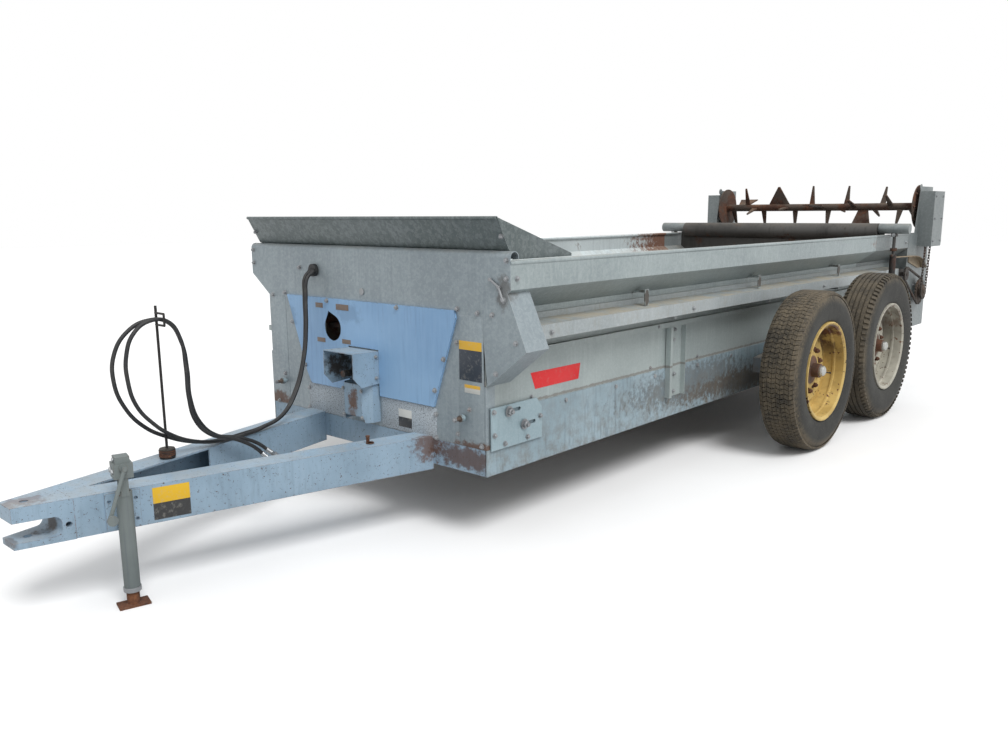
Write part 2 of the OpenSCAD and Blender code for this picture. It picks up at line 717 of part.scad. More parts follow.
// Cross members in even steps before and behind one that lies just ahead of the axle
axle_y = front_axle_y + axle_gap / 2;
cross_axle = 364.5;
cross_y0 = 700;
cross_back = [340, 40];
cross_mid = axle_y - cross_axle;
cross_ys = concat(
  [for (k = [0:3]) cross_y0 + k * (cross_mid - cross_y0) / 3],
  [for (k = [1:3]) cross_mid + k * (beater_side_y - cross_back[0] - cross_mid) / 3],
  [beater_side_y - cross_back[1]]);
module chassis_rails() {
  on_body([0.56, 0.64, 0.72]) {
    both() difference() {
      run_y(60 + seat, beater_side_y) polygon([
        [wall_x + 4, sill_low_z], [wall_x + 4, sill_top_z], [wall_x - 2, sill_top_z],
        [wall_x - 2, ledge_z], [wall_x - 50, ledge_z], [wall_x - 50, ledge_z - sill_t],
        [wall_x - 2, ledge_z - sill_t], [wall_x - 2, sill_low_z + sill_t],
        [wall_x - 50, sill_low_z + sill_t], [wall_x - 50, sill_low_z]]);
      // Gaps in the ledge for the apron shafts
      for (y = loop_y)
        block([wall_x - 51, y - 34, ledge_z - sill_t - 1], [wall_x - 2, y + 34, ledge_z + 1]);
    }
    // Outer web carried on to the front corner
    both() block([wall_x - 2, 0.6, sill_low_z], [wall_x + 4, 61, panel_low_z - seat]);
    for (y = cross_ys)
      block([-wall_x + 2, y - 30, 400], [wall_x - 2, y + 30, 480]);
  }
}
axle_z = 440;
axle_box = [120, 60, 40];
module main_axle() {
  on_body(pale_blue) {
    block([-wall_x + 2, axle_y - axle_box[0] / 2, axle_z - axle_box[1]],
          [wall_x - 2, axle_y + axle_box[0] / 2, axle_z + axle_box[2]]);
    both() rod_x([axle_y, axle_z], wall_x + 4, beam_x[1] + 24, 45);
  }
}
// Tandem beams: boxed arms on the centre pivot, with a spindle at each end
tyre_x = [track_over / 2 - tyre_w, track_over / 2];
beam_x = [925, 1050];
wheel_ys = [front_axle_y, front_axle_y + axle_gap];
wheel_zs = [front_tyre_r, rear_tyre_r];
hub_x = [tyre_x[0] + 20, tyre_x[1] - 19];
// Spindle and bore end short of the solid hub cap
spindle_end = hub_x[1] - 40;
module tandem_beams() {
  on_body([0.50, 0.52, 0.54]) both() {
    difference() {
      run_x(beam_x[0], beam_x[1]) polygon([
        [wheel_ys[0] - 70, wheel_zs[0] - 50], [wheel_ys[0] + 60, wheel_zs[0] - 70],
        [axle_y - 140, 360], [axle_y + 140, 360],
        [wheel_ys[1] - 60, wheel_zs[1] - 70], [wheel_ys[1] + 70, wheel_zs[1] - 50],
        [wheel_ys[1] + 70, wheel_zs[1] + 50], [wheel_ys[1] - 60, wheel_zs[1] + 65],
        [axle_y + 100, 560], [axle_y - 100, 560],
        [wheel_ys[0] + 60, wheel_zs[0] + 65], [wheel_ys[0] - 70, wheel_zs[0] + 50]]);
      rod_x([axle_y, axle_z], beam_x[0] - 1, beam_x[1] + 1, 45.3);
    }
    for (i = [0, 1]) {
      rod_x([wheel_ys[i], wheel_zs[i]], beam_x[1], hub_x[0] - 1, spindle_r + 14);
      rod_x([wheel_ys[i], wheel_zs[i]], hub_x[0] - 1, spindle_end, spindle_r);
    }
  }
}

// Wheels
tyre_in = rim_r - 12;
module tyre(i) {
  r = wheel_zs[i];
  w = tyre_w / 2;
  translate([(tyre_x[0] + tyre_x[1]) / 2, wheel_ys[i], wheel_zs[i]]) rotate([0, 90, 0])
    rotate_extrude($fn = 96) polygon([
      [tyre_in, -w + 40], [rim_r + 14, -w + 22], [rim_r + 70, -w + 2],
      [r - 95, -w], [r - 40, -w + 8], [r - 8, -w + 26], [r, -w + 52],
      [r, w - 52], [r - 8, w - 26], [r - 40, w - 8], [r - 95, w],
      [rim_r + 70, w - 2], [rim_r + 14, w - 22], [tyre_in, w - 40]]);
}
// Rim with its disc, hand holes and hub; outside is +X
// Sections are given as radius and distance from the tyre's middle
disc_off = -15;
hand_r = 22;
module rim(i) {
  w = tyre_w / 2;
  mid = (tyre_x[0] + tyre_x[1]) / 2;
  o = hub_x[1] - mid;
  h = hub_x[0] - mid;
  f = tyre_in - seat;
  difference() {
    translate([mid, wheel_ys[i], wheel_zs[i]]) rotate([0, 90, 0])
      rotate_extrude($fn = 96) polygon([
        [0, o], [13, o - 1.5], [25, o - 6], [33, o - 13], [36, o - 24], [36, o - 34], [46, o - 35],
        [48, disc_off + 40], [70, disc_off + 32], [84, disc_off + 30],
        [120, disc_off + 22], [120, disc_off + 12], [165, disc_off + 6],
        [215, disc_off + 14], [250, disc_off - 6], [tyre_in - 14, disc_off - 10],
        [tyre_in - 14, 34], [tyre_in - 22, 38], [tyre_in - 22, 50], [tyre_in - 14, 54],
        [tyre_in - 14, w - 14], [rim_r - 8, w - 5], [rim_r, w - 7], [rim_r, w - 30],
        [f, w - 39], [f, 39 - w], [rim_r, 30 - w], [rim_r, 22 - w], [rim_r - 8, 20 - w],
        [tyre_in - 14, 26 - w], [tyre_in - 14, disc_off - 26], [246, disc_off - 22],
        [215, disc_off - 2], [165, disc_off - 10], [100, disc_off - 6], [80, h], [0, h]]);
    rod_x([wheel_ys[i], wheel_zs[i]], hub_x[0] - 1, spindle_end + 2, spindle_r + turn_fit);
    for (k = [0:9]) translate([mid, wheel_ys[i], wheel_zs[i]]) rotate([k * 36, 0, 0])
      translate([disc_off - 60, 0, 228]) rotate([0, 90, 0]) cylinder(h = 100, r = hand_r);
  }
}
module tyre_front_left() { on_body(dark) tyre(0); }
module tyre_front_right() { on_body(dark) mirror([1, 0, 0]) tyre(0); }
module tyre_rear_left() { on_body(dark) tyre(1); }
module tyre_rear_right() { on_body(dark) mirror([1, 0, 0]) tyre(1); }
module rim_front_left() { on_body([0.82, 0.68, 0.33]) rim(0); }
module rim_front_right() { on_body([0.82, 0.68, 0.33]) mirror([1, 0, 0]) rim(0); }
module rim_rear_left() { on_body([0.75, 0.76, 0.74]) rim(1); }
module rim_rear_right() { on_body([0.75, 0.76, 0.74]) mirror([1, 0, 0]) rim(1); }

// Conveyor: one fixed loop of two chains and their slats
loop_y = [190, beater_side_y - 70];
loop_top = floor_z + 1;
loop_z = loop_top + 7 - loop_r;
chain_t = 14;
module loop_band(x0, x1, r0, r1) {
  run_x(x0, x1) difference() {
    union() {
      translate([loop_y[0], loop_z]) circle(r = r1);
      translate([loop_y[1], loop_z]) circle(r = r1);
      translate([loop_y[0], loop_z - r1]) square([loop_y[1] - loop_y[0], 2 * r1]);
    }
    union() {
      translate([loop_y[0], loop_z]) circle(r = r0);
      translate([loop_y[1], loop_z]) circle(r = r0);
      translate([loop_y[0], loop_z - r0]) square([loop_y[1] - loop_y[0], 2 * r0]);
    }
  }
}
slat_n = floor((loop_y[1] - loop_y[0]) / slat_gap);
slat_half = deck_half - 30;
module apron_chain() {
  on_body([0.36, 0.30, 0.26]) {
    for (s = [-1, 1])
      loop_band(s * chain_x - 20, s * chain_x + 20, loop_r - 7, loop_r + 7);
    for (k = [0:slat_n - 1]) {
      y = loop_y[0] + (k + 0.5) * slat_gap;
      block([-slat_half, y - 22, loop_z + loop_r - 6], [slat_half, y + 22, loop_z + loop_r + slat_h]);
      block([-slat_half, y - 22, loop_z - loop_r - slat_h], [slat_half, y + 22, loop_z - loop_r + 6]);
    }
  }
}
shaft_r = 24;
module apron_shafts() {
  on_body([0.36, 0.33, 0.31]) for (y = loop_y) {
    rod_x([y, loop_z], -wall_x + 2 + seat, wall_x - 2 - seat, shaft_r);
    for (s = [-1, 1])
      rod_x([y, loop_z], s * chain_x - 14, s * chain_x + 14, loop_r - 7.3);
  }
}

// Endgate: sheet, top member, cross tube with its lugs and cylinder rods
gate_low_z = floor_z + slat_h + 20;
tube_z = rail_top_z + gate_tube_d / 2 + clear;
tube_half = rail_x + 172;
cyl_x = 1062;
cyl_r = 26;
rod_r = 13;
cyl_top_z = 1235;
cyl_low_z = cyl_top_z - gate_stroke - 110;
gate_roll = [930, 70];
gate_w = wall_x - wall_t - clear;
wing_x = rail_x - 30;
wing_rise = (rail_low_z - slope_low_z) / (rail_x - wall_x);
wing_z = slope_low_z + 2 * clear;
module endgate() {
  on_body([0.30, 0.30, 0.31]) {
    // Panel between the walls, with wings that follow the slope
    run_y(gate_y - gate_t / 2, gate_y + gate_t / 2) polygon([
      [-gate_w, gate_low_z], [gate_w, gate_low_z], [gate_w, wing_z],
      [wing_x, wing_z + (wing_x - gate_w) * wing_rise], [wing_x, tube_z],
      [-wing_x, tube_z], [-wing_x, wing_z + (wing_x - gate_w) * wing_rise],
      [-gate_w, wing_z]]);
    rod_x([gate_y, tube_z], -tube_half, tube_half, gate_tube_d / 2);
    // Rolled cover around the tube's middle
    rod_x([gate_y, tube_z - 25], -gate_roll[0], gate_roll[0], gate_roll[1]);
    both() {
      // Lug that takes the rod's eye
      block([cyl_x - 22, gate_y - 22, tube_z - gate_tube_d / 2 - 22],
            [cyl_x + 22, gate_y + 22, tube_z - gate_tube_d / 2 + 8]);
      rod_z([cyl_x, gate_y], cyl_low_z + 25, tube_z - gate_tube_d / 2 - 20, rod_r);
    }
    // Stiffeners across the sheet
    for (z = [gate_low_z + 120, gate_low_z + 330])
      block([-gate_w, gate_y + gate_t / 2, z], [gate_w, gate_y + 28, z + 40]);
  }
}
module gate_cylinders() {
  on_body([0.42, 0.43, 0.44]) both() {
    difference() {
      rod_z([cyl_x, gate_y], cyl_low_z, cyl_top_z - 60, cyl_r);
      rod_z([cyl_x, gate_y], cyl_low_z + 20, cyl_top_z, rod_r + 0.3);
    }
    // Bracket from the wall
    for (z = [cyl_low_z + 30, cyl_low_z + 200]) difference() {
      block([wall_x, gate_y - 20, z], [cyl_x, gate_y + 20, z + 12]);
      rod_z([cyl_x, gate_y], z - 1, z + 20, cyl_r);
    }
  }
}

// Beater sides
lug_r = 30;
lug_y = body_len - 350;
plate_t = 6;
jamb_y = beater_side_y;
side_low_z = 470;
module beater_side() {
  // Rear section of the rail and slope
  upper_section(wall_split_y + seat, jamb_y);
  block([side_x + plate_t, jamb_y, rail_low_z], [rail_x + 2, box_ys[0], rail_top_z - 8]);
  // Jamb across the step from wall to beater side
  run_y(jamb_y, jamb_y + wall_t) polygon([
    [wall_x - wall_t, side_low_z], [side_x + plate_t, side_low_z],
    [side_x + plate_t, rail_low_z], [wall_x - wall_t, slope_low_z]]);
  difference() {
    run_x(side_x, side_x + plate_t) union() {
      polygon([[jamb_y, side_low_z], [body_len, side_low_z], [body_len, side_top_z],
               [lug_y, side_top_z], [lug_y - 90, rail_top_z], [jamb_y, rail_top_z]]);
      translate([lug_y + 4, side_top_z - 10]) circle(r = lug_r);
    }
    rod_x([upper_y, upper_z], side_x - 1, side_x + plate_t + 1, bearing_r - 14);
    rod_x([lower_y, lower_z], side_x - 1, side_x + plate_t + 1, bearing_r - 14);
  }
  for (c = [[upper_y, upper_z], [lower_y, lower_z]]) difference() {
    rod_x(c, side_x + plate_t, side_x + plate_t + 26, bearing_r);
    rod_x(c, side_x, side_x + plate_t + 60, journal_r + turn_fit);
  }
}
// Box that covers the upper bearing and chain wheel, open below
box_ys = [upper_y - 120, upper_y + 180];
box_zs = [1220, 1715];
box_out = 1133;
module shield_shell() {
  difference() {
    block([side_x + plate_t, box_ys[0], box_zs[0]], [box_out, box_ys[1], box_zs[1]]);
    block([side_x, box_ys[0] + 3, box_zs[0] - 3], [box_out - 3, box_ys[1] - 3, box_zs[1] - 3]);
  }
}
module rear_left_side() {
  on_body([0.50, 0.53, 0.54]) {
    beater_side();
    shield_shell();
  }
}
module rear_right_side() {
  on_body([0.50, 0.53, 0.54]) mirror([1, 0, 0]) {
    beater_side();
    shield_shell();
  }
}

// Beaters: shaft with discs, pointed tines and bent paddles in a spiral
// Columns of a tooth: root half width, tip half width, thickness
tine = [26, 7, 14];
paddle = [34, 52, 10];
blade = [46, 96, 10];
fin = [112, 10, 8];
module tooth(kind, r, shaft, turned) {
  rotate([90, 0, turned]) translate([0, 0, -kind[2] / 2]) linear_extrude(kind[2])
    polygon([[-kind[0], shaft - 6], [kind[0], shaft - 6], [kind[1], r], [-kind[1], r]]);
}
rotor_half = side_x - clear - 30;
module beater(y, z, shaft, disc) {
  translate([0, y, z]) {
    rod_x([0, 0], -rotor_half, rotor_half, shaft);
    for (s = [-1, 1]) rod_x([0, 0], s * rotor_half - 4, s * rotor_half + 4, disc);
    rod_x([0, 0], -side_x - 52, drive_x + 50, journal_r);
    children();
  }
}
// Teeth in opposite pairs, tines and paddles by turns
module paired_teeth(r, shaft, turn) {
  for (i = [0:beater_rows - 1], a = [0, 180])
    translate([(rotor_half - 70) * (2 * i / (beater_rows - 1) - 1), 0, 0]) rotate([a + i * turn, 0, 0])
      tooth(i % 2 == 0 ? paddle : tine, r, shaft, i % 2 == 0 ? (i % 4 - 1) * 20 : 0);
}
// Single tines in a steep spiral, with a fin and some wide blades between
module single_teeth(r, shaft, turn) {
  n = 2 * beater_rows;
  for (k = [0:n - 1])
    translate([(rotor_half - 70) * (2 * k / (n - 1) - 1), 0, 0]) rotate([(k - 5.9) * turn, 0, 0])
      tooth(k == 6 ? fin : k % 5 == 1 && k < n - 3 ? blade : tine, r, shaft, 0);
}
journal_r = 25;
bearing_r = 58;

// Side drive at the rear. Chain planes count outward from the side plate.
drive_x = side_x + plate_t + 42;
low_plane = drive_x;
top_plane = drive_x + 34;
wheel_half = 6;
clutch_r = 118;
chain_r = 7;
upper_wheel_r = 68;
lower_wheel_r = 68;
// Toothed wheel on an X axis
module chain_wheel(p, x, r, teeth) {
  difference() {
    rod_x(p, x - wheel_half, x + wheel_half, r);
    for (k = [0:teeth - 1]) translate([0, p[0], p[1]]) rotate([k * 360 / teeth, 0, 0])
      rod_x([0, r + 2], x - wheel_half - 1, x + wheel_half + 1, 9);
  }
}
module upper_beater() {
  on_body(rust) {
    beater(upper_y, upper_z, 35, 195) single_teeth(upper_r, 35, 87);
    chain_wheel([upper_y, upper_z], top_plane, upper_wheel_r - chain_r - seat, 14);
  }
}
module lower_beater() {
  on_body(rust) {
    beater(lower_y, lower_z, 48, 210) paired_teeth(lower_r, 48, 49);
    chain_wheel([lower_y, lower_z], low_plane, clutch_r - chain_r - seat, 22);
    chain_wheel([lower_y, lower_z], top_plane, lower_wheel_r - chain_r - seat, 18);
    rod_x([lower_y, lower_z], low_plane - 8, top_plane + 10, 44);
  }
}
// Gear case at the end of the line shaft
case_x = [wall_x + 24.3, side_x - 4];
case_y = [out_y - 70, out_y + 70];
module beater_drive() {
  on_body([0.34, 0.33, 0.33]) {
    difference() {
      block([case_x[0], case_y[0], out_z - 62], [case_x[1], case_y[1], out_z + 44]);
      rod_y([line_x, line_z], case_y[0] - 1, out_y + 40, line_r + turn_fit);
      rod_x([out_y, out_z], line_x + 26, case_x[1] + 1, 18 + turn_fit);
    }
    // Foot down to the sill
    block([case_x[0], case_y[0] + 20, floor_z - 5], [case_x[0] + 12, case_y[1] - 20, out_z - 62]);
  }
}
module drive_wheel() {
  on_body([0.42, 0.36, 0.30]) {
    rod_x([out_y, out_z], line_x + 27, low_plane + 12, 18);
    chain_wheel([out_y, out_z], low_plane, out_r - chain_r - seat, 12);
  }
}
// Chain around two wheels: the band between two outlines of arcs and tangents
module two_wheels(a, ra, b, rb, g) {
  d = norm(b - a);
  base = atan2(b[1] - a[1], b[0] - a[0]);
  lean = asin((ra - rb) / d);
  translate(a) circle(r = ra + g);
  translate(b) circle(r = rb + g);
  polygon([
    a + (ra + g) * [cos(base + 90 - lean), sin(base + 90 - lean)],
    a + (ra + g) * [cos(base - 90 + lean), sin(base - 90 + lean)],
    b + (rb + g) * [cos(base - 90 + lean), sin(base - 90 + lean)],
    b + (rb + g) * [cos(base + 90 - lean), sin(base + 90 - lean)]]);
}
module chain_loop(x, a, ra, b, rb) {
  run_x(x - wheel_half - 5, x + wheel_half + 5) difference() {
    two_wheels(a, ra, b, rb, chain_r);
    two_wheels(a, ra, b, rb, -chain_r);
  }
}
module beater_chains() {
  on_body([0.30, 0.26, 0.23]) {
    chain_loop(low_plane, [out_y, out_z], out_r, [lower_y, lower_z], clutch_r);
    chain_loop(top_plane, [lower_y, lower_z], lower_wheel_r, [upper_y, upper_z], upper_wheel_r);
  }
}
// Curved guard over the lower chain, hung from the beater side
guard_path = [for (q = [[-370, 167], [230, 155], [300, 146], [370, 130], [425, 110], [470, 85], [500, 62], [525, 35]])
  q + [out_y, out_z]];
module chain_guard() {
  on_body([0.62, 0.52, 0.38]) {
    run_x(side_x + plate_t + seat, top_plane - 20) polygon(sheet(guard_path, -4));
    // Strap back to the side plate
    run_x(side_x + plate_t + seat, side_x + plate_t + 8)
      polygon(concat([for (i = [1:7]) guard_path[i] - [1, 2]],
        [[out_y + 420, out_z + 36], [jamb_y + 30, out_z + 100], [jamb_y + 30, out_z + 154]]));
  }
}

tongue_left_leg();
tongue_right_leg();
hitch_clevis();
jack_mount();
jack_body();
jack_crank();
jack_leg();
hose_holder();
hose_a();
hose_b();
hose_couplers();
hose_grommet();
front_panel();
front_guard();
centre_panel();
pto_hood();
input_gearbox();
pto_shaft();
inner_front_wall();
front_sill();
corner_guard();
take_ups();
left_upper_wall();
right_upper_wall();
left_lower_wall();
right_lower_wall();
drive_shield();
drive_shaft();
floor_deck();
chassis_rails();
main_axle();
tandem_beams();
tyre_front_left();
tyre_front_right();
tyre_rear_left();
tyre_rear_right();
rim_front_left();
rim_front_right();
rim_rear_left();
rim_rear_right();
apron_chain();
apron_shafts();
endgate();
gate_cylinders();
rear_left_side();
rear_right_side();
upper_beater();
lower_beater();
beater_drive();
drive_wheel();
beater_chains();
chain_guard();
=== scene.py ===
"""Looks of a tandem-axle manure spreader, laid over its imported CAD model.

Builders work in the front panel's frame, in metres: X to the machine's left,
Y to its rear with 0 at the panel, Z up from the ground. placed() moves each
finished mesh to the row frame.
"""
import logging
import math
from dataclasses import dataclass, field
from enum import Enum
from typing import Sequence

import bmesh
import bpy
from mathutils import Matrix, Vector


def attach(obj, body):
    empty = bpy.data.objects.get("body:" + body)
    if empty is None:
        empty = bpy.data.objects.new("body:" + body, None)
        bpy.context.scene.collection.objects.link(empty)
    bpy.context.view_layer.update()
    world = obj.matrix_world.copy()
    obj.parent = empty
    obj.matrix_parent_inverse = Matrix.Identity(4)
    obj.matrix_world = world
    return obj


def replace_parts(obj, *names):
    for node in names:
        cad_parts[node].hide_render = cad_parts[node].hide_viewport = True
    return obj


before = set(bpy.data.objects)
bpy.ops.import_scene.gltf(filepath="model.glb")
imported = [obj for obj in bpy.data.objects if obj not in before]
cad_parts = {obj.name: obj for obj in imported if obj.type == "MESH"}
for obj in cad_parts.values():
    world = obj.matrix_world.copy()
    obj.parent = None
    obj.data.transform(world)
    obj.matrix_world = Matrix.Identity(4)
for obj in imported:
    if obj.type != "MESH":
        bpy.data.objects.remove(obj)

LOG = logging.getLogger("spreader")
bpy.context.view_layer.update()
BACK = 2.140            # how far the front panel stands before the row frame's origin
PROUD = .0002           # how far a fastener stands off its sheet
SHARP = 32.0            # degrees past which an edge stays sharp
Point = tuple[float, float, float]
Flat = tuple[float, float]
Colour = tuple[float, float, float, float]
Spot = tuple[Point, Point]
Socket = bpy.types.NodeSocket
Tree = bpy.types.NodeTree
Material = bpy.types.Material
Mesh = bpy.types.Mesh
Thing = bpy.types.Object
Outputs = bpy.types.bpy_prop_collection
Started = tuple["Web", dict[str, Socket]]   # a new group: its web and its inputs


# ---- Small helpers

def tint(code: str) -> Colour:
    """Linear colour of an sRGB hex code."""
    parts = [int(code[i:i + 2], 16) / 255 for i in (1, 3, 5)]
    lin = [c / 12.92 if c <= .04045 else ((c + .055) / 1.055) ** 2.4 for c in parts]
    return lin[0], lin[1], lin[2], 1.0


def angles(count: int, shift: float = 0.0) -> list[float]:
    """Angles of equal steps round a circle, moved on by a share of a step."""
    return [math.tau * (k + shift) / count for k in range(count)]


def ring(radius: float, count: int, shift: float = 0.0) -> list[Flat]:
    """Points of equal steps round a circle."""
    return [(radius * math.cos(t), radius * math.sin(t)) for t in angles(count, shift)]


def rowed(at: Point) -> Point:
    """A point of the panel's frame in the row frame."""
    return at[0], at[1] - BACK, at[2]


def linked(name: str, data: bpy.types.ID) -> Thing:
    """Makes an object of its data in the scene.

    Args:
        name: the object's name.
        data: its mesh, curve, light or camera.

    Returns:
        The object.
    """
    obj = bpy.data.objects.new(name, data)
    bpy.context.scene.collection.objects.link(obj)
    return obj


# ---- Node helpers

class Web:
    """The nodes of one tree, added and joined in few words."""

    def __init__(self, tree: Tree, out: bpy.types.Node | None = None) -> None:
        """Keeps the tree and its output node."""
        self.tree, self.out = tree, out

    def put(self, socket: Socket, value: object) -> None:
        """Links value to the socket if it is a socket, and sets it otherwise."""
        if isinstance(value, Socket):
            self.tree.links.new(value, socket)
        else:
            socket.default_value = value

    def add(self, kind: str, ins: dict | None = None, **attrs: object) -> bpy.types.Node:
        """Adds a node.

        Args:
            kind: Blender's name of the node type.
            ins: values or sockets, by input name or number.
            attrs: settings of the node.

        Returns:
            The node.
        """
        node = self.tree.nodes.new(kind)
        for key, value in attrs.items():
            setattr(node, key, value)
        for key, value in (ins or {}).items():
            self.put(node.inputs[key], value)
        return node

    def close(self, *values: object) -> Tree:
        """Joins the values to the group's outputs; returns the tree."""
        for socket, value in zip(self.out.inputs, values):
            self.put(socket, value)
        return self.tree

    def math(self, op: str, a: object, b: object = 0.0, clamp: bool = False) -> Socket:
        """One sum of a Math node."""
        return self.add("ShaderNodeMath", {0: a, 1: b}, operation=op, use_clamp=clamp).outputs[0]

    def times(self, a: object, b: object, clamp: bool = False) -> Socket:
        """The product of two values."""
        return self.math("MULTIPLY", a, b, clamp)

    def plus(self, a: object, b: object, clamp: bool = False) -> Socket:
        """The sum of two values."""
        return self.math("ADD", a, b, clamp)

    def minus(self, a: object, b: object, clamp: bool = False) -> Socket:
        """The difference of two values."""
        return self.math("SUBTRACT", a, b, clamp)

    def over(self, a: object, b: object) -> Socket:
        """One value divided by another."""
        return self.math("DIVIDE", a, b)

    def most(self, a: object | None, b: object) -> object:
        """The greater of two masks, or the second if there is no first."""
        return b if a is None else self.math("MAXIMUM", a, b)

    def shares(self, a: object, part: float, b: object, rest: float) -> Socket:
        """Two values added by their shares."""
        return self.plus(self.times(a, part), self.times(b, rest))

    def vmath(self, op: str, a: object, b: object = (0.0, 0.0, 0.0), out: object = 0) -> Socket:
        """One sum of a Vector Math node."""
        return self.add("ShaderNodeVectorMath", {0: a, 1: b}, operation=op).outputs[out]

    def axes(self, vec: object) -> Outputs:
        """X, Y and Z of a vector."""
        return self.add("ShaderNodeSeparateXYZ", {0: vec}).outputs

    def point(self, x: object = 0.0, y: object = 0.0, z: object = 0.0) -> Socket:
        """A vector of its X, Y and Z."""
        return self.add("ShaderNodeCombineXYZ", {0: x, 1: y, 2: z}).outputs[0]

    def mix(self, fac: object, a: object, b: object) -> Socket:
        """Mix of two colours, given as sockets, colours or hex codes."""
        a, b = (tint(c) if isinstance(c, str) else c for c in (a, b))
        return self.add("ShaderNodeMix", {0: fac, 6: a, 7: b}, data_type="RGBA").outputs[2]

    def remap(self, value: object, low: object, high: object,
              a: object = 0.0, b: object = 1.0) -> Socket:
        """Value moved smoothly from one range to another, and kept in it."""
        ins = {"Value": value, "From Min": low, "From Max": high, "To Min": a, "To Max": b}
        return self.add("ShaderNodeMapRange", ins, interpolation_type="SMOOTHSTEP").outputs[0]

    def noise(self, vec: object, scale: object, detail: float = 3.0, rough: float = .55) -> Socket:
        """Noise of a vector, about 0.5 on average."""
        ins = {"Vector": vec, "Scale": scale, "Detail": detail, "Roughness": rough}
        return self.add("ShaderNodeTexNoise", ins).outputs[0]

    def effect(self, name: str, vec: object, **ins: object) -> Outputs:
        """Places a shared effect.

        Args:
            name: the effect's name in Effects.
            vec: coordinates that it reads.
            ins: its other inputs by name.

        Returns:
            The outputs.
        """
        node = self.add("ShaderNodeGroup", node_tree=EFFECTS.get(name))
        for key, value in {"Vector": vec, **ins}.items():
            self.put(node.inputs[key], value)
        return node.outputs


SOCKETS = {"v": "Vector", "f": "Float", "c": "Color", "i": "Int", "g": "Geometry", "m": "Material",
           "o": "Object"}


def new_tree(name: str, kind: str, ins: dict, outs: dict) -> Started:
    """Starts a node group with named sockets.

    Args:
        name: the group's name.
        kind: Shader or Geometry.
        ins: input names with (socket letter, default).
        outs: output names with a socket letter.

    Returns:
        The web and the inputs' sockets by name.
    """
    tree = bpy.data.node_groups.new(name, f"{kind}NodeTree")
    for label, (letter, default) in ins.items():
        sock = tree.interface.new_socket(name=label, in_out="INPUT",
                                         socket_type=f"NodeSocket{SOCKETS[letter]}")
        if default is not None:
            sock.default_value = default
    for label, letter in outs.items():
        tree.interface.new_socket(name=label, in_out="OUTPUT",
                                  socket_type=f"NodeSocket{SOCKETS[letter]}")
    named = {s.name: s for s in tree.nodes.new("NodeGroupInput").outputs if s.name}
    out = tree.nodes.new("NodeGroupOutput")
    return (Geometry if kind == "Geometry" else Web)(tree, out), named


class Library:
    """Node groups by name, each built by the method of that name at its first use."""

    def __init__(self) -> None:
        """Starts with none built."""
        self.built: dict[str, Tree] = {}

    def get(self, name: str) -> Tree:
        """The group of that name."""
        if name not in self.built:
            self.built[name] = getattr(self, name)()
        return self.built[name]


def masked(name: str, outs: dict | None = None, **ins: float | None) -> Started:
    """Starts a shader group that reads a vector.

    Args:
        name: the group's name.
        outs: output names with a socket letter, or None for one mask.
        ins: its other inputs: a number's default, or None for a vector.

    Returns:
        The web and the inputs' sockets by name.
    """
    sockets = {"Vector": ("v", None)}
    sockets |= {key: ("v", None) if value is None else ("f", value) for key, value in ins.items()}
    return new_tree(name, "Shader", sockets, outs or {"Mask": "f"})


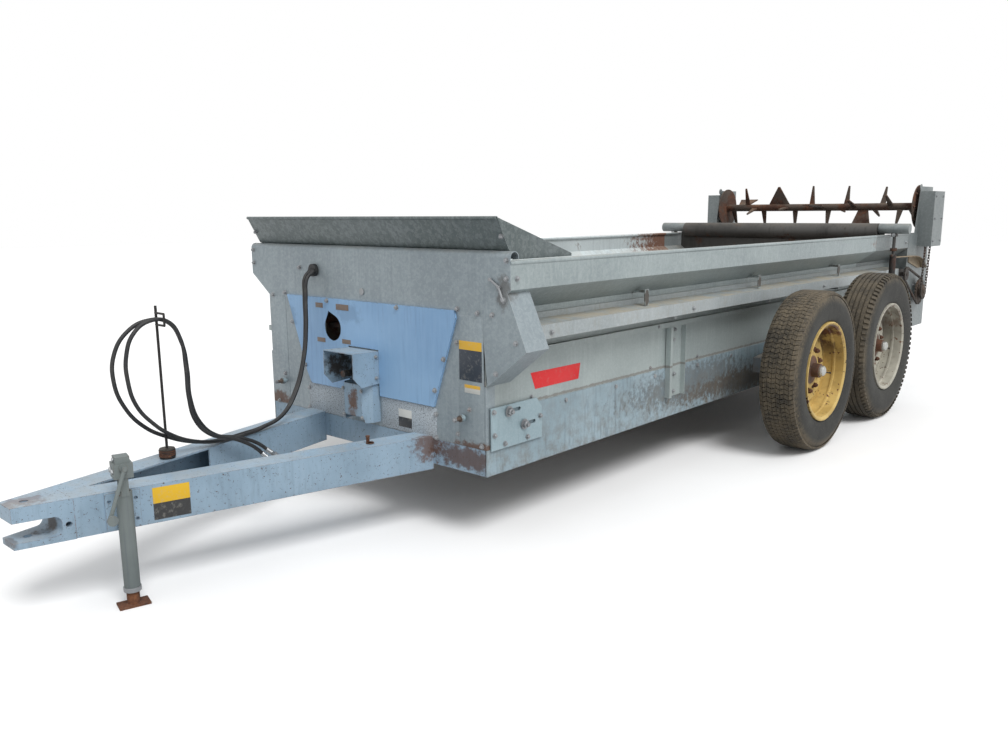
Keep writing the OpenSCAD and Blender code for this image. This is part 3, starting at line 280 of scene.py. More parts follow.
class Effects(Library):
    """Shader groups that several finishes share."""

    def zinc_flowers(self) -> Tree:
        """Crystals of hot-dip zinc.

        Returns:
            The group, which gives a tone for each crystal.
        """
        web, i = masked("zinc_flowers", {"Tone": "f"}, Cell=.02)
        scale = web.over(1.0, i["Cell"])
        ins = {"Vector": i["Vector"], "Scale": scale, "Detail": 1.0}
        bend = web.add("ShaderNodeTexNoise", ins)
        shift = web.add("ShaderNodeVectorMath", {0: bend.outputs[1], 3: .012}, operation="SCALE")
        vec = web.vmath("ADD", i["Vector"], shift.outputs[0])
        big = web.add("ShaderNodeTexVoronoi", {"Vector": vec, "Scale": scale})
        small = web.add("ShaderNodeTexVoronoi", {"Vector": vec, "Scale": web.times(scale, 2.6)})
        one, two = (web.add("ShaderNodeSeparateColor", {0: cells.outputs["Color"]}).outputs[pick]
                    for pick, cells in enumerate((big, small)))
        return web.close(web.shares(one, .6, two, .4))

    def run_streaks(self) -> Tree:
        """Runs down an upright face.

        Returns:
            The group, which gives their mask.
        """
        web, i = masked("run_streaks", Spacing=.03, Length=.6, Cover=.4)
        across, down = web.over(1.0, i["Spacing"]), web.over(1.0, i["Length"])
        vec = web.vmath("MULTIPLY", i["Vector"], web.point(across, across, down))
        both = web.shares(web.noise(vec, 1.0, 4.0, .6), .7, web.noise(i["Vector"], 2.4, 2.0), .3)
        low = web.minus(.68, web.times(i["Cover"], .36))
        return web.close(web.remap(both, low, web.plus(low, .16)))

    def paint_chips(self) -> Tree:
        """Flakes where paint is gone.

        Returns:
            The group, which gives their mask, sharp at the borders.
        """
        web, i = masked("paint_chips", Size=.05, Amount=.2)
        scale = web.over(1.0, i["Size"])
        broad = web.noise(i["Vector"], scale, 5.0, .7)
        fine = web.noise(i["Vector"], web.times(scale, 4.3), 3.0, .6)
        low = web.minus(.70, web.times(i["Amount"], .35))
        return web.close(web.remap(web.shares(broad, .7, fine, .3), low, web.plus(low, .018)))

    def edge_wear(self) -> Tree:
        """Corners that rubbing has bared.

        Returns:
            The group, which gives their mask.
        """
        web, i = masked("edge_wear", Width=.004, Breakup=30.0, Amount=.8)
        bevel = web.add("ShaderNodeBevel", {"Radius": i["Width"]}, samples=4)
        face = web.add("ShaderNodeNewGeometry").outputs["Normal"]
        dot = web.vmath("DOT_PRODUCT", bevel.outputs[0], face, "Value")
        edge = web.remap(web.minus(1.0, dot), .02, .22)
        torn = web.remap(web.noise(i["Vector"], i["Breakup"], 4.0, .65), .40, .58)
        return web.close(web.times(web.times(edge, torn), i["Amount"]))

    def ground_splash(self) -> Tree:
        """Mud thrown up from the ground.

        Returns:
            The group, which gives its mask.
        """
        web, i = masked("ground_splash", Height=.6, Amount=.5)
        high = web.over(web.axes(i["Vector"])[2], i["Height"])
        low = web.remap(high, .25, 1.0, 1.0, 0.0)
        spots = web.remap(web.noise(i["Vector"], 16.0, 6.0, .75), .38, .66)
        return web.close(web.times(web.times(low, spots), i["Amount"]))

    def stain_or_shade_spot(self) -> Tree:
        """A ragged patch round one place.

        Returns:
            The group, which gives its mask.
        """
        web, i = masked("stain_or_shade_spot", Centre=None, Size=None, Amount=.8)
        rel = web.vmath("DIVIDE", web.vmath("SUBTRACT", i["Vector"], i["Centre"]), i["Size"])
        far = web.vmath("LENGTH", rel, out="Value")
        torn = web.times(web.minus(web.noise(i["Vector"], 28.0, 5.0, .7), .5), 2.2)
        near = web.remap(web.plus(far, torn), .45, 1.05, 1.0, 0.0)
        return web.close(web.times(near, i["Amount"]))

    def rust_tint(self) -> Tree:
        """Rust from dark scale to orange bloom.

        Returns:
            The group, which gives its colour and height.
        """
        web, i = masked("rust_tint", {"Color": "c", "Height": "f"}, Bright=.5)
        fine = web.noise(i["Vector"], 95.0, 4.0, .7)
        both = web.shares(web.noise(i["Vector"], 7.0, 5.0, .65), .62, fine, .38)
        moved = web.plus(both, web.times(web.minus(i["Bright"], .5), .35))
        ramp = web.add("ShaderNodeValToRGB", {0: moved})
        stops = ramp.color_ramp.elements
        stops[0].position, stops[0].color = .30, tint("#2f211b")
        stops[1].position, stops[1].color = .78, tint("#a26f49")
        for place, code in ((.44, "#4d3327"), (.55, "#6b4530"), (.66, "#85583b")):
            stops.new(place).color = tint(code)
        return web.close(ramp.outputs[0], fine)

    def settled_dust(self) -> Tree:
        """Dust on faces that look up.

        Returns:
            The group, which gives its mask.
        """
        web, i = masked("settled_dust", Amount=.5)
        face = web.add("ShaderNodeNewGeometry").outputs["Normal"]
        up = web.remap(web.axes(face)[2], .35, .9)
        spots = web.remap(web.noise(i["Vector"], 7.0, 6.0, .7), .36, .62)
        return web.close(web.times(web.times(up, spots), i["Amount"]))

    def wheel_polar(self) -> Tree:
        """Distance from a wheel's axle, and the turn round it.

        Returns:
            The group, which gives both.
        """
        web, i = masked("wheel_polar", {"Radius": "f", "Turn": "f"}, Centre=None)
        off = web.vmath("SUBTRACT", i["Vector"], i["Centre"])
        flat = web.vmath("MULTIPLY", off, (0.0, 1.0, 1.0))
        parts = web.axes(flat)
        return web.close(web.vmath("LENGTH", flat, out="Value"),
                         web.math("ARCTAN2", parts[2], parts[1]))


EFFECTS = Effects()


# ---- Finishes

class Coat:
    """One material in the making: its web, Object coordinates and shader."""

    def __init__(self, name: str) -> None:
        """Starts the material."""
        self.mat = bpy.data.materials.new(name)
        self.mat.use_nodes = True
        nodes = self.mat.node_tree.nodes
        self.web = Web(self.mat.node_tree)
        self.shader = next(n for n in nodes if n.type == "BSDF_PRINCIPLED")
        self.vec = self.web.add("ShaderNodeTexCoord").outputs["Object"]

    def set(self, label: str, value: object) -> None:
        """Joins a value to the shader's input of that label."""
        self.web.put(self.shader.inputs[label], value)

    def close(self, colour: object, rough: object, height: object, strength: float,
              distance: float) -> Material:
        """Joins colour, roughness and relief to the shader.

        Args:
            colour: the base colour.
            rough: the roughness.
            height: the height that the relief follows.
            strength: strength of the relief.
            distance: its depth in metres.

        Returns:
            The finished material.
        """
        self.set("Base Color", colour)
        self.set("Roughness", rough)
        self.set("Normal", self.web.add("ShaderNodeBump", {
            "Strength": strength, "Distance": distance, "Height": height}).outputs[0])
        return self.mat


@dataclass(frozen=True)
class StainOrShade:
    """A patch at one place of the panel's frame: most are rust, grease or grime; those inside the
    PTO hood are painted shade.
    """

    at: Point
    size: Point
    amount: float = .85
    tone: str = "#6d4a35"


@dataclass(frozen=True)
class Weathered:
    """Metal that has stood outside: zinc, paint or bare steel."""

    name: str
    base: str
    shade: str
    light: str
    rough: float = .5
    metal: float = 0.0
    cell: float = 0.0
    flowers: float = 0.0
    streaks: float = 0.0
    smears: float = 0.0
    smear_tone: str = "#4c5560"
    run: float = .5
    chips: float = 0.0
    chip_size: float = .05
    chip_tone: str = ""
    wear: float = 0.0
    wear_tone: str = "#6b4732"
    splash: float = 0.0
    splash_tone: str = "#6f6353"
    splash_top: float = .7
    dust: float = 0.0
    dust_tone: str = "#a39a8a"
    rust: float = 0.0
    rust_bright: float = .5
    bump: float = .35
    grain: float = 260.0
    stains_and_shade: tuple[StainOrShade, ...] = ()

    def runs(self, coat: Coat, colour: object) -> object:
        """Lays light and dark runs over a colour.

        Args:
            coat: the material in the making.
            colour: the colour so far.

        Returns:
            The new colour.
        """
        web = coat.web
        for amount, tone, cover, shift in ((self.streaks, self.light, .55, 0.0),
                                           (self.smears, self.smear_tone, .5, 7.3)):
            if amount:
                moved = web.vmath("ADD", coat.vec, (shift, shift, 0.0))
                mask = web.effect("run_streaks", moved, Spacing=.022, Length=self.run,
                                  Cover=cover)["Mask"]
                colour = web.mix(web.times(mask, amount), colour, tone)
        return colour

    def dirt_and_shade(self, coat: Coat, colour: object, bare: object) -> tuple[object, object]:
        """Lays patches of stain and of painted shade, then mud and dust, over a colour.

        Args:
            coat: the material in the making.
            colour: the colour so far.
            bare: mask of what is dull so far, or None.

        Returns:
            The new colour and the new mask.
        """
        web, vec = coat.web, coat.vec
        for spot in self.stains_and_shade:
            mask = web.effect("stain_or_shade_spot", vec, Centre=rowed(spot.at), Size=spot.size,
                              Amount=spot.amount)["Mask"]
            mottle = web.mix(web.noise(vec, 60.0, 4.0, .7), spot.tone,
                             web.mix(.5, spot.tone, "#1d1613"))
            colour, bare = web.mix(mask, colour, mottle), web.most(bare, mask)
        for amount, name, tone, extra in (
                (self.splash, "ground_splash", self.splash_tone, {"Height": self.splash_top}),
                (self.dust, "settled_dust", self.dust_tone, {})):
            if amount:
                mask = web.effect(name, vec, Amount=amount, **extra)["Mask"]
                colour, bare = web.mix(mask, colour, tone), web.most(bare, mask)
        return colour, bare

    def material(self) -> Material:
        """Builds the material.

        Returns:
            The finished material.
        """
        coat = Coat(self.name)
        web, vec = coat.web, coat.vec
        broad, fine = web.noise(vec, 1.7, 5.0, .6), web.noise(vec, self.grain, 2.0, .6)
        colour = web.mix(web.remap(broad, .34, .66), self.shade, self.base)
        height, bare = fine, None
        rough = web.plus(self.rough - .08, web.times(broad, .18))
        if self.flowers:
            tone = web.effect("zinc_flowers", vec, Cell=self.cell)["Tone"]
            for ends, shade in (((.35, .85), self.light), ((.1, .5, 1.0, 0.0), self.shade)):
                colour = web.mix(web.times(web.remap(tone, *ends), self.flowers), colour, shade)
            height = web.plus(height, web.times(tone, .5))
            rough = web.plus(rough, web.times(tone, -.1))
        if self.rust:
            ironed = web.effect("rust_tint", vec, Bright=self.rust_bright)
            spread = self.rust * .4
            bare = web.remap(web.noise(vec, 3.3, 6.0, .7), .62 - spread, .74 - spread)
            colour = web.mix(bare, colour, ironed["Color"])
            height = web.mix(bare, height, ironed["Height"])
        colour = self.runs(coat, colour)
        if self.wear:
            worn = web.effect("edge_wear", vec, Width=.004, Breakup=34.0, Amount=self.wear)["Mask"]
            colour = web.mix(worn, colour, self.wear_tone)
        if self.chips:
            bare = web.effect("paint_chips", vec, Size=self.chip_size, Amount=self.chips)["Mask"]
            under = self.chip_tone or web.effect("rust_tint", vec, Bright=.45)["Color"]
            colour, height = web.mix(bare, colour, under), web.minus(height, bare)
        colour, bare = self.dirt_and_shade(coat, colour, bare)
        if bare is not None:
            rough = web.plus(rough, web.times(bare, .28), clamp=True)
        if self.metal and bare is not None:
            coat.set("Metallic", web.times(web.minus(1.0, bare, clamp=True), self.metal))
        else:
            coat.set("Metallic", self.metal)
        return coat.close(colour, rough, height, self.bump, .0016)


@dataclass(frozen=True)
class WheelPaint:
    """Paint of a wheel, with a rusty hub, a bright cap, and rust with painted shade in the
    barrel's upper half.
    """

    name: str
    paint: str
    shade: str
    centre: Point
    # how much rust and painted shade the barrel's upper half gets
    rust: float = .5
    cap_face: float = 1.363

    def material(self) -> Material:
        """Builds the material.

        Returns:
            The finished material.
        """
        coat = Coat(self.name)
        web, vec = coat.web, coat.vec
        polar = web.effect("wheel_polar", vec, Centre=(0.0, *rowed(self.centre)[1:]))
        radius = polar["Radius"]
        ironed = web.effect("rust_tint", vec, Bright=.42)
        broad = web.noise(vec, 5.0, 5.0, .6)
        colour = web.mix(web.remap(broad, .35, .65), self.shade, self.paint)
        chips = web.effect("paint_chips", vec, Size=.07, Amount=.34)["Mask"]
        # Rust on the barrel's upper half only, partly real rust and partly painted shade there.
        high = web.remap(web.math("SINE", polar["Turn"]), -.1, .85)
        wall, lip = web.remap(radius, .235, .262), web.remap(radius, .302, .312, 1.0, 0.0)
        torn = web.remap(web.noise(vec, 9.0, 6.0, .7), .40, .58)
        barrel = web.times(web.times(wall, lip), web.times(high, torn))
        barrel = web.times(barrel, self.rust * 1.7, clamp=True)
        colour = web.mix(web.most(chips, barrel), colour, ironed["Color"])
        hub = web.remap(web.plus(radius, web.times(broad, .02)), .096, .112, 1.0, 0.0)
        colour = web.mix(hub, colour, web.mix(.35, ironed["Color"], "#4a3a30"))
        side = web.math("ABSOLUTE", web.axes(vec)[0])
        cap = web.times(web.remap(side, self.cap_face - .001, self.cap_face + .001),
                        web.remap(radius, .050, .053, 1.0, 0.0))
        colour = web.mix(cap, colour, "#b4b5b2")
        soil = web.remap(web.noise(vec, 22.0, 5.0, .7), .5, .75)
        colour = web.mix(web.times(soil, .35), colour, "#5b4a38")
        coat.set("Metallic", web.times(cap, .75))
        return coat.close(colour, web.minus(.62, web.times(cap, .28)),
                          web.minus(ironed["Height"], chips), .4, .0015)


@dataclass(frozen=True)
class TyreRubber:
    """Rubber of one tyre, grey on the sidewall and muddy on the tread."""

    name: str
    centre: Point
    radius: float
    mud: float = .8

    def material(self) -> Material:
        """Builds the material.

        Returns:
            The finished material.
        """
        coat = Coat(self.name)
        web, vec = coat.web, coat.vec
        radius = web.effect("wheel_polar", vec, Centre=(0.0, *rowed(self.centre)[1:]))["Radius"]
        broad, fine = web.noise(vec, 6.0, 5.0, .65), web.noise(vec, 70.0, 5.0, .7)
        colour = web.mix(web.remap(broad, .35, .65), "#222220", "#32322f")
        colour = web.mix(web.remap(fine, .52, .75), colour, "#4e4d47")
        tread = web.remap(radius, self.radius - .034, self.radius - .006)
        near = web.remap(radius, self.radius - .085, self.radius - .02)
        caked = web.remap(web.shares(broad, .5, fine, .5), .36, .60)
        colour = web.mix(web.times(web.times(near, caked), self.mud), colour, "#6d6250")
        film = web.times(tread, web.remap(fine, .35, .65, .4, .05))
        colour = web.mix(film, colour, "#463f34")
        rings = web.math("SINE", web.times(radius, 620.0))
        ribs = web.times(web.remap(rings, .2, .9), web.remap(tread, 0.0, .4, .10, 0.0))
        return coat.close(colour, web.plus(.70, web.times(fine, .22)),
                          web.plus(web.times(fine, .7), ribs), .5, .002)


@dataclass(frozen=True)
class Timber:
    """Planks that run from front to rear, soaked and worn."""

    name: str = "deck_wood"
    board: float = .1418

    def material(self) -> Material:
        """Builds the material.

        Returns:
            The finished material.
        """
        coat = Coat(self.name)
        web, vec = coat.web, coat.vec
        grain = web.noise(web.vmath("MULTIPLY", vec, (1.0, .045, 1.0)), 85.0, 6.0, .65)
        board = web.math("FLOOR", web.over(web.axes(vec)[0], self.board))
        each = web.add("ShaderNodeTexWhiteNoise", {"W": board}, noise_dimensions="1D").outputs[0]
        colour = web.mix(web.remap(grain, .3, .7), "#4a3d31", "#7d6a55")
        colour = web.mix(web.times(each, .4), colour, "#5a5148")
        soil = web.remap(web.noise(vec, 3.0, 6.0, .7), .42, .62)
        colour = web.mix(web.times(soil, .6), colour, "#3b3027")
        return coat.close(colour, web.plus(.62, web.times(grain, .25)), grain, .5, .002)


@dataclass(frozen=True)
class HoseRubber:
    """Outer cover of a hydraulic hose, dull with dust."""

    name: str = "hose_rubber"

    def material(self) -> Material:
        """Builds the material.

        Returns:
            The finished material.
        """
        coat = Coat(self.name)
        web, vec = coat.web, coat.vec
        broad = web.noise(vec, 11.0, 5.0, .65)
        colour = web.mix(web.remap(broad, .45, .75), "#1d1e20", "#3c3b39")
        return coat.close(colour, web.plus(.42, web.times(broad, .3)),
                          web.noise(vec, 420.0, 2.0), .25, .0008)


@dataclass(frozen=True)
class Sticker:
    """A blank plate or sticker of flat colour fields, one above the other.

    Each field is a height and a colour, and lies over what is above it.
    """

    name: str
    top: str
    lower: tuple[tuple[float, str], ...] = ()
    fade: float = .3

    def material(self) -> Material:
        """Builds the material.

        Returns:
            The finished material.
        """
        coat = Coat(self.name)
        web, vec = coat.web, coat.vec
        colour: object = self.top
        for edge, code in self.lower:
            colour = web.mix(web.math("LESS_THAN", web.axes(vec)[2], edge), colour, code)
        worn = web.remap(web.noise(vec, 45.0, 6.0, .7), .5, .72)
        colour = web.mix(web.times(worn, self.fade), colour, "#a9a7a0")
        scuffs = web.effect("paint_chips", vec, Size=.03, Amount=.16)["Mask"]
        colour = web.mix(web.times(scuffs, .7), colour, "#7b8287")
        return coat.close(colour, web.plus(.38, web.times(worn, .3)),
                          web.noise(vec, 140.0, 3.0), .15, .0006)


class Metal(Enum):
    """The metal finishes of the machine."""

    GALV = Weathered("galv_sheet", "#939ea3", "#848f95", "#aeb8bc", .50, .3, .014, .22,
        streaks=.14, smears=.12, wear=.4, wear_tone="#c3c8ca", dust=.25,
        stains_and_shade=(StainOrShade((-.83, 0.0, .49), (.16, .4, .05)),
                StainOrShade((.80, 0.0, .46), (.2, .4, .035)),
                StainOrShade((.97, 0.0, 1.20), (.05, .1, .09), .5, "#5a4a3c")))
    # Dirty zinc, darker than the other galvanised sheet as painted shade on the guard's
    # forward-leaning face.
    GUARD = Weathered("shaded_galv_guard", "#666f70", "#566060", "#8e9697", .48, .32, .02, .30,
        streaks=.14, smears=.14, wear=.5, wear_tone="#ccd0d2", run=.2)
    WALL = Weathered("galv_wall", "#a7b1b0", "#99a3a3", "#bec7c6", .52, .22, .010, .15,
        streaks=.2, smears=.12, smear_tone="#7b848a", run=.35, wear=.3, wear_tone="#8d7a66",
        dust=.35, dust_tone="#a79b88",
        stains_and_shade=(StainOrShade((.86, 1.6, .645), (.2, 3.4, .010), .5, "#6a503c"),
                StainOrShade((-.86, 2.2, .645), (.2, 4.4, .010), .5, "#6a503c")))
    RAIL = Weathered("galv_rail", "#9ba6a7", "#8b9698", "#b9c2c2", .46, .3, .012, .2,
        streaks=.25, smears=.15, smear_tone="#87919a", run=.10, wear=.3, wear_tone="#c9cdce",
        dust=.3,
        stains_and_shade=(*(StainOrShade((.95, y, 1.09), (.10, .04, .06), .9, "#4d4239")
                  for y in (1.20, 2.58, 3.97)),
                StainOrShade((.99, 4.72, 1.28), (.08, .22, .05), .7, "#8a5a40")))
    SHIELD = Weathered("shield_sheet", "#a8afb0", "#979fa1", "#c0c7ca", .5, .25, .009, .2,
        streaks=.2, smears=.2, smear_tone="#8f8672", run=.06, dust=.7, dust_tone="#ab9f88",
        wear=.35, wear_tone="#7d6a57")
    PLATE = Weathered("zinc_plate", "#9fb4bb", "#8fa4ac", "#bccad0", .48, .25, .008, .12,
        smears=.2, smear_tone="#6f7c82", chips=.12, chip_size=.01, wear=.3,
        wear_tone="#8a6a50",
        stains_and_shade=tuple(StainOrShade((s * .722, -.05, .60), (.03, .05, .03), .95, "#5f4c3e")
                     for s in (1, -1)))
    JACK = Weathered("jack_zinc", "#78807f", "#656d6d", "#949c9b", .6, .3, rust=.1, chips=.12,
        chip_size=.03, wear=.5, wear_tone="#7b5d47", smears=.3)
    BOARD = Weathered("sill_paint", "#9cb0ba", "#8599a3", "#b3c2ca", .5, 0.0, streaks=.1,
        smears=.5, smear_tone="#59666e", run=.22, chips=.14, chip_size=.03, wear=.6,
        splash=.55, splash_top=.85,
        stains_and_shade=(StainOrShade((.86, 1.9, .50), (.3, .9, .16), .6, "#565451"),
                StainOrShade((.86, 2.6, .42), (.3, 1.0, .10), .7, "#5d5145")))
    PAINT = Weathered("pale_paint", "#93abbe", "#8097a9", "#b0c2d0", .45, 0.0, streaks=.08,
        smears=.22, smear_tone="#5d6e78", run=.12, chips=.30, chip_tone="#51433c",
        chip_size=.013, wear=1.0, splash=.4, splash_top=.42, dust=.3, dust_tone="#a9a294",
        stains_and_shade=(StainOrShade((.50, -.03, .45), (.07, .10, .12), .8),
                # Painted shade: the next two dark patches darken the inside of the PTO hood.
                StainOrShade((0.0, -.09, .78), (.105, .09, .07), .95, "#2b2723"),
                StainOrShade((-.10, -.08, .77), (.04, .12, .09), .95, "#37312b"),
                StainOrShade((.74, 0.0, .40), (.34, .03, .07), .85, "#61463a"),
                StainOrShade((0.0, -1.70, .472), (.09, .12, .008), .55, "#7d5a44"),
                StainOrShade((0.0, -1.62, .36), (.07, .10, .045), .85, "#6f655c"),
                StainOrShade((0.0, -1.765, .34), (.10, .02, .05), .6, "#6a5a50"),
                StainOrShade((0.0, -.10, .60), (.05, .06, .07), .9, "#7a5a45"),
                StainOrShade((0.0, -.08, .53), (.04, .06, .05), .7, "#7a5a45")))
    SPECKLED = Weathered("speckled_paint", "#b4bdc4", "#a6b0b8", "#c3cbd1", .55, 0.0, streaks=.2,
        smears=.25, smear_tone="#8a949c", chips=.46, chip_size=.007, chip_tone="#555a5f",
        wear=.5, splash=.45, splash_top=.62,
        stains_and_shade=(StainOrShade((0.0, 0.0, .52), (.10, .1, .09), .75, "#7a5a45"),))
    BLUE = Weathered("blue_panel", "#90b6da", "#80a7ce", "#a8c8e4", .42, 0.0, streaks=.12,
        smears=.28, smear_tone="#5f7ba6", run=.25, chips=.07, chip_size=.02, wear=1.0,
        wear_tone="#4a3a30", splash=.12,
        stains_and_shade=(StainOrShade((-.10, 0.0, 1.03), (.12, .1, .06), .25, "#4f6584"),
                StainOrShade((-.62, 0.0, .98), (.05, .1, .10), .3, "#4f6584")))
    RUST = Weathered("rusty_steel", "#5d4334", "#46332a", "#86604a", .78, .15, rust=1.0,
        rust_bright=.45, bump=.6, grain=140.0, wear=.6, wear_tone="#8d7f73")
    BEATER = Weathered("beater_steel", "#574b42", "#413730", "#8a7563", .75, .2, rust=.42,
        rust_bright=.35, bump=.6, grain=110.0, wear=.9, wear_tone="#8b7c6e", dust=.5,
        dust_tone="#7d6d5b")
    DARK = Weathered("dark_steel", "#373534", "#262423", "#55504b", .55, .45, rust=.28,
        rust_bright=.3, bump=.4, wear=.8, wear_tone="#77706a", dust=.4, dust_tone="#5d5347")
    DRIVE = Weathered("drive_steel", "#48433f", "#34302d", "#6a625b", .68, .3, rust=.35,
        rust_bright=.3, bump=.6, grain=110.0, wear=.7, wear_tone="#7d736a")
    CASTING = Weathered("casting", "#4c4946", "#3a3735", "#6b6661", .7, .3, rust=.4,
        rust_bright=.35, bump=.7, grain=90.0, wear=.7, wear_tone="#7d756c")
    BRIGHT = Weathered("bright_steel", "#b3b6b8", "#8e9193", "#d4d6d7", .34, .8, rust=.12,
        bump=.25, wear=.4, wear_tone="#d8dadb")
    ZINC = Weathered("zinc_bolts", "#a0a3a5", "#85878a", "#c4c7c9", .42, .5, rust=.12,
        rust_bright=.5, bump=.4, grain=500.0, wear=.5, wear_tone="#c9cbcc")
    GATE = Weathered("gate_steel", "#5a5957", "#454442", "#7a7976", .6, .35, rust=.15,
        rust_bright=.35, bump=.5, wear=.7, wear_tone="#7a6a5c", dust=.4, dust_tone="#6f675c",
        smears=.4, smear_tone="#2c2a29")
    TAN = Weathered("tan_guard", "#988a74", "#82745f", "#b0a48e", .6, .1, chips=.3,
        chip_size=.05, wear=.8, smears=.4, smear_tone="#6c5238", dust=.5, dust_tone="#b09a78")
    INNER = Weathered("inner_sheet", "#857a6c", "#6b5f52", "#a09788", .62, .2, rust=.5,
        rust_bright=.5, smears=.5, smear_tone="#4a3d31", streaks=.3, dust=.4)
    FAR = Weathered("far_wall", "#cfd9db", "#bfc9cb", "#dde4e6", .5, .3, .012, .2, rust=.1,
        smears=.2, dust=.3,
        stains_and_shade=(StainOrShade((-.97, 4.70, 1.26), (.35, .75, .30), 1.0, "#7b5848"),))
    REAR = Weathered("galv_rear", "#848b8c", "#737a7b", "#a0a7a7", .52, .3, .012, .2,
        smears=.25, streaks=.1, wear=.4, wear_tone="#7d6a57", dust=.35)
    BEAM = Weathered("beam_paint", "#7c848b", "#666d73", "#979ea4", .6, .1, chips=.25,
        chip_size=.06, wear=.8, splash=.8, splash_top=.75, dust=.6)


class Paints:
    """Materials by finish, each made at its first use."""

    def __init__(self) -> None:
        """Starts with none made."""
        self.made: dict[str, Material] = {}

    def get(self, finish: object) -> Material:
        """The material of a finish.

        Args:
            finish: a finish, or a member of Metal.

        Returns:
            The material.
        """
        plan = finish.value if isinstance(finish, Enum) else finish
        if plan.name not in self.made:
            self.made[plan.name] = plan.material()
        return self.made[plan.name]


PAINTS = Paints()


def dress(node: str, finish: object) -> None:
    """Gives a CAD node its finish, by its object's material slots.

    Args:
        node: the node's name.
        finish: its finish.
    """
    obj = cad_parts[node]
    mat = PAINTS.get(finish)
    if not obj.material_slots:
        obj.data.materials.append(mat)
    for slot in obj.material_slots:
        slot.material = mat
    LOG.info("dressed %s in %s", node, mat.name)


# ---- Geometry Nodes trees

LETTERS = {int: "i", float: "f", type(None): "o"}


class Geometry(Web):
    """The web of a Geometry Nodes tree."""

    def finish(self, made: object, material: object) -> Tree:
        """Ends a tree: instances made real, then their material."""
        real = self.add("GeometryNodeRealizeInstances", {0: made}).outputs[0]
        return self.close(self.add("GeometryNodeSetMaterial", {
            "Geometry": real, "Material": material}).outputs[0])

    def joined(self, parts: Sequence[Socket]) -> Socket:
        """Several geometries as one.

        Args:
            parts: the geometries.

        Returns:
            The joined geometry.
        """
        node = self.add("GeometryNodeJoinGeometry")
        for part in parts:
            self.tree.links.new(part, node.inputs[0])
        return node.outputs[0]

    def turned(self, x: object = 0.0, z: object = 0.0) -> Socket:
        """A rotation about X or Z."""
        return self.add("FunctionNodeEulerToRotation", {0: self.point(x=x, z=z)}).outputs[0]

    def chance(self, low: object, high: object, seed: object) -> Socket:
        """A random value for each point."""
        return self.add("FunctionNodeRandomValue", {2: low, 3: high, 8: seed},
                        data_type="FLOAT").outputs[1]

    def named(self, name: str, kind: str) -> Socket:
        """A named attribute of the points."""
        node = self.add("GeometryNodeInputNamedAttribute", {"Name": name}, data_type=kind)
        return node.outputs[0]

    def copies(self, points: object, item: object, **ins: object) -> Socket:
        """Copies of an item on points, with the node's other inputs."""
        return self.add("GeometryNodeInstanceOnPoints", {
            "Points": points, "Instance": item, **ins}).outputs[0]

    def raised(self, kind: str, z: object, ins: dict[str, object]) -> Socket:
        """A mesh primitive, Cylinder or Cone, moved up by z."""
        shape = self.add(f"GeometryNodeMesh{kind}", ins).outputs[0]
        return self.add("GeometryNodeTransform", {
            "Geometry": shape, "Translation": self.point(z=z)}).outputs[0]


def geometry(name: str, ins: dict[str, int | float | None]) -> Started:
    """Starts a tree with a geometry, its sizes (None for an object) and a material."""
    sizes = {key: (LETTERS[type(value)], value) for key, value in ins.items()}
    sockets = {"Geometry": ("g", None), **sizes, "Material": ("m", None)}
    return new_tree(name, "Geometry", sockets, {"Geometry": "g"})


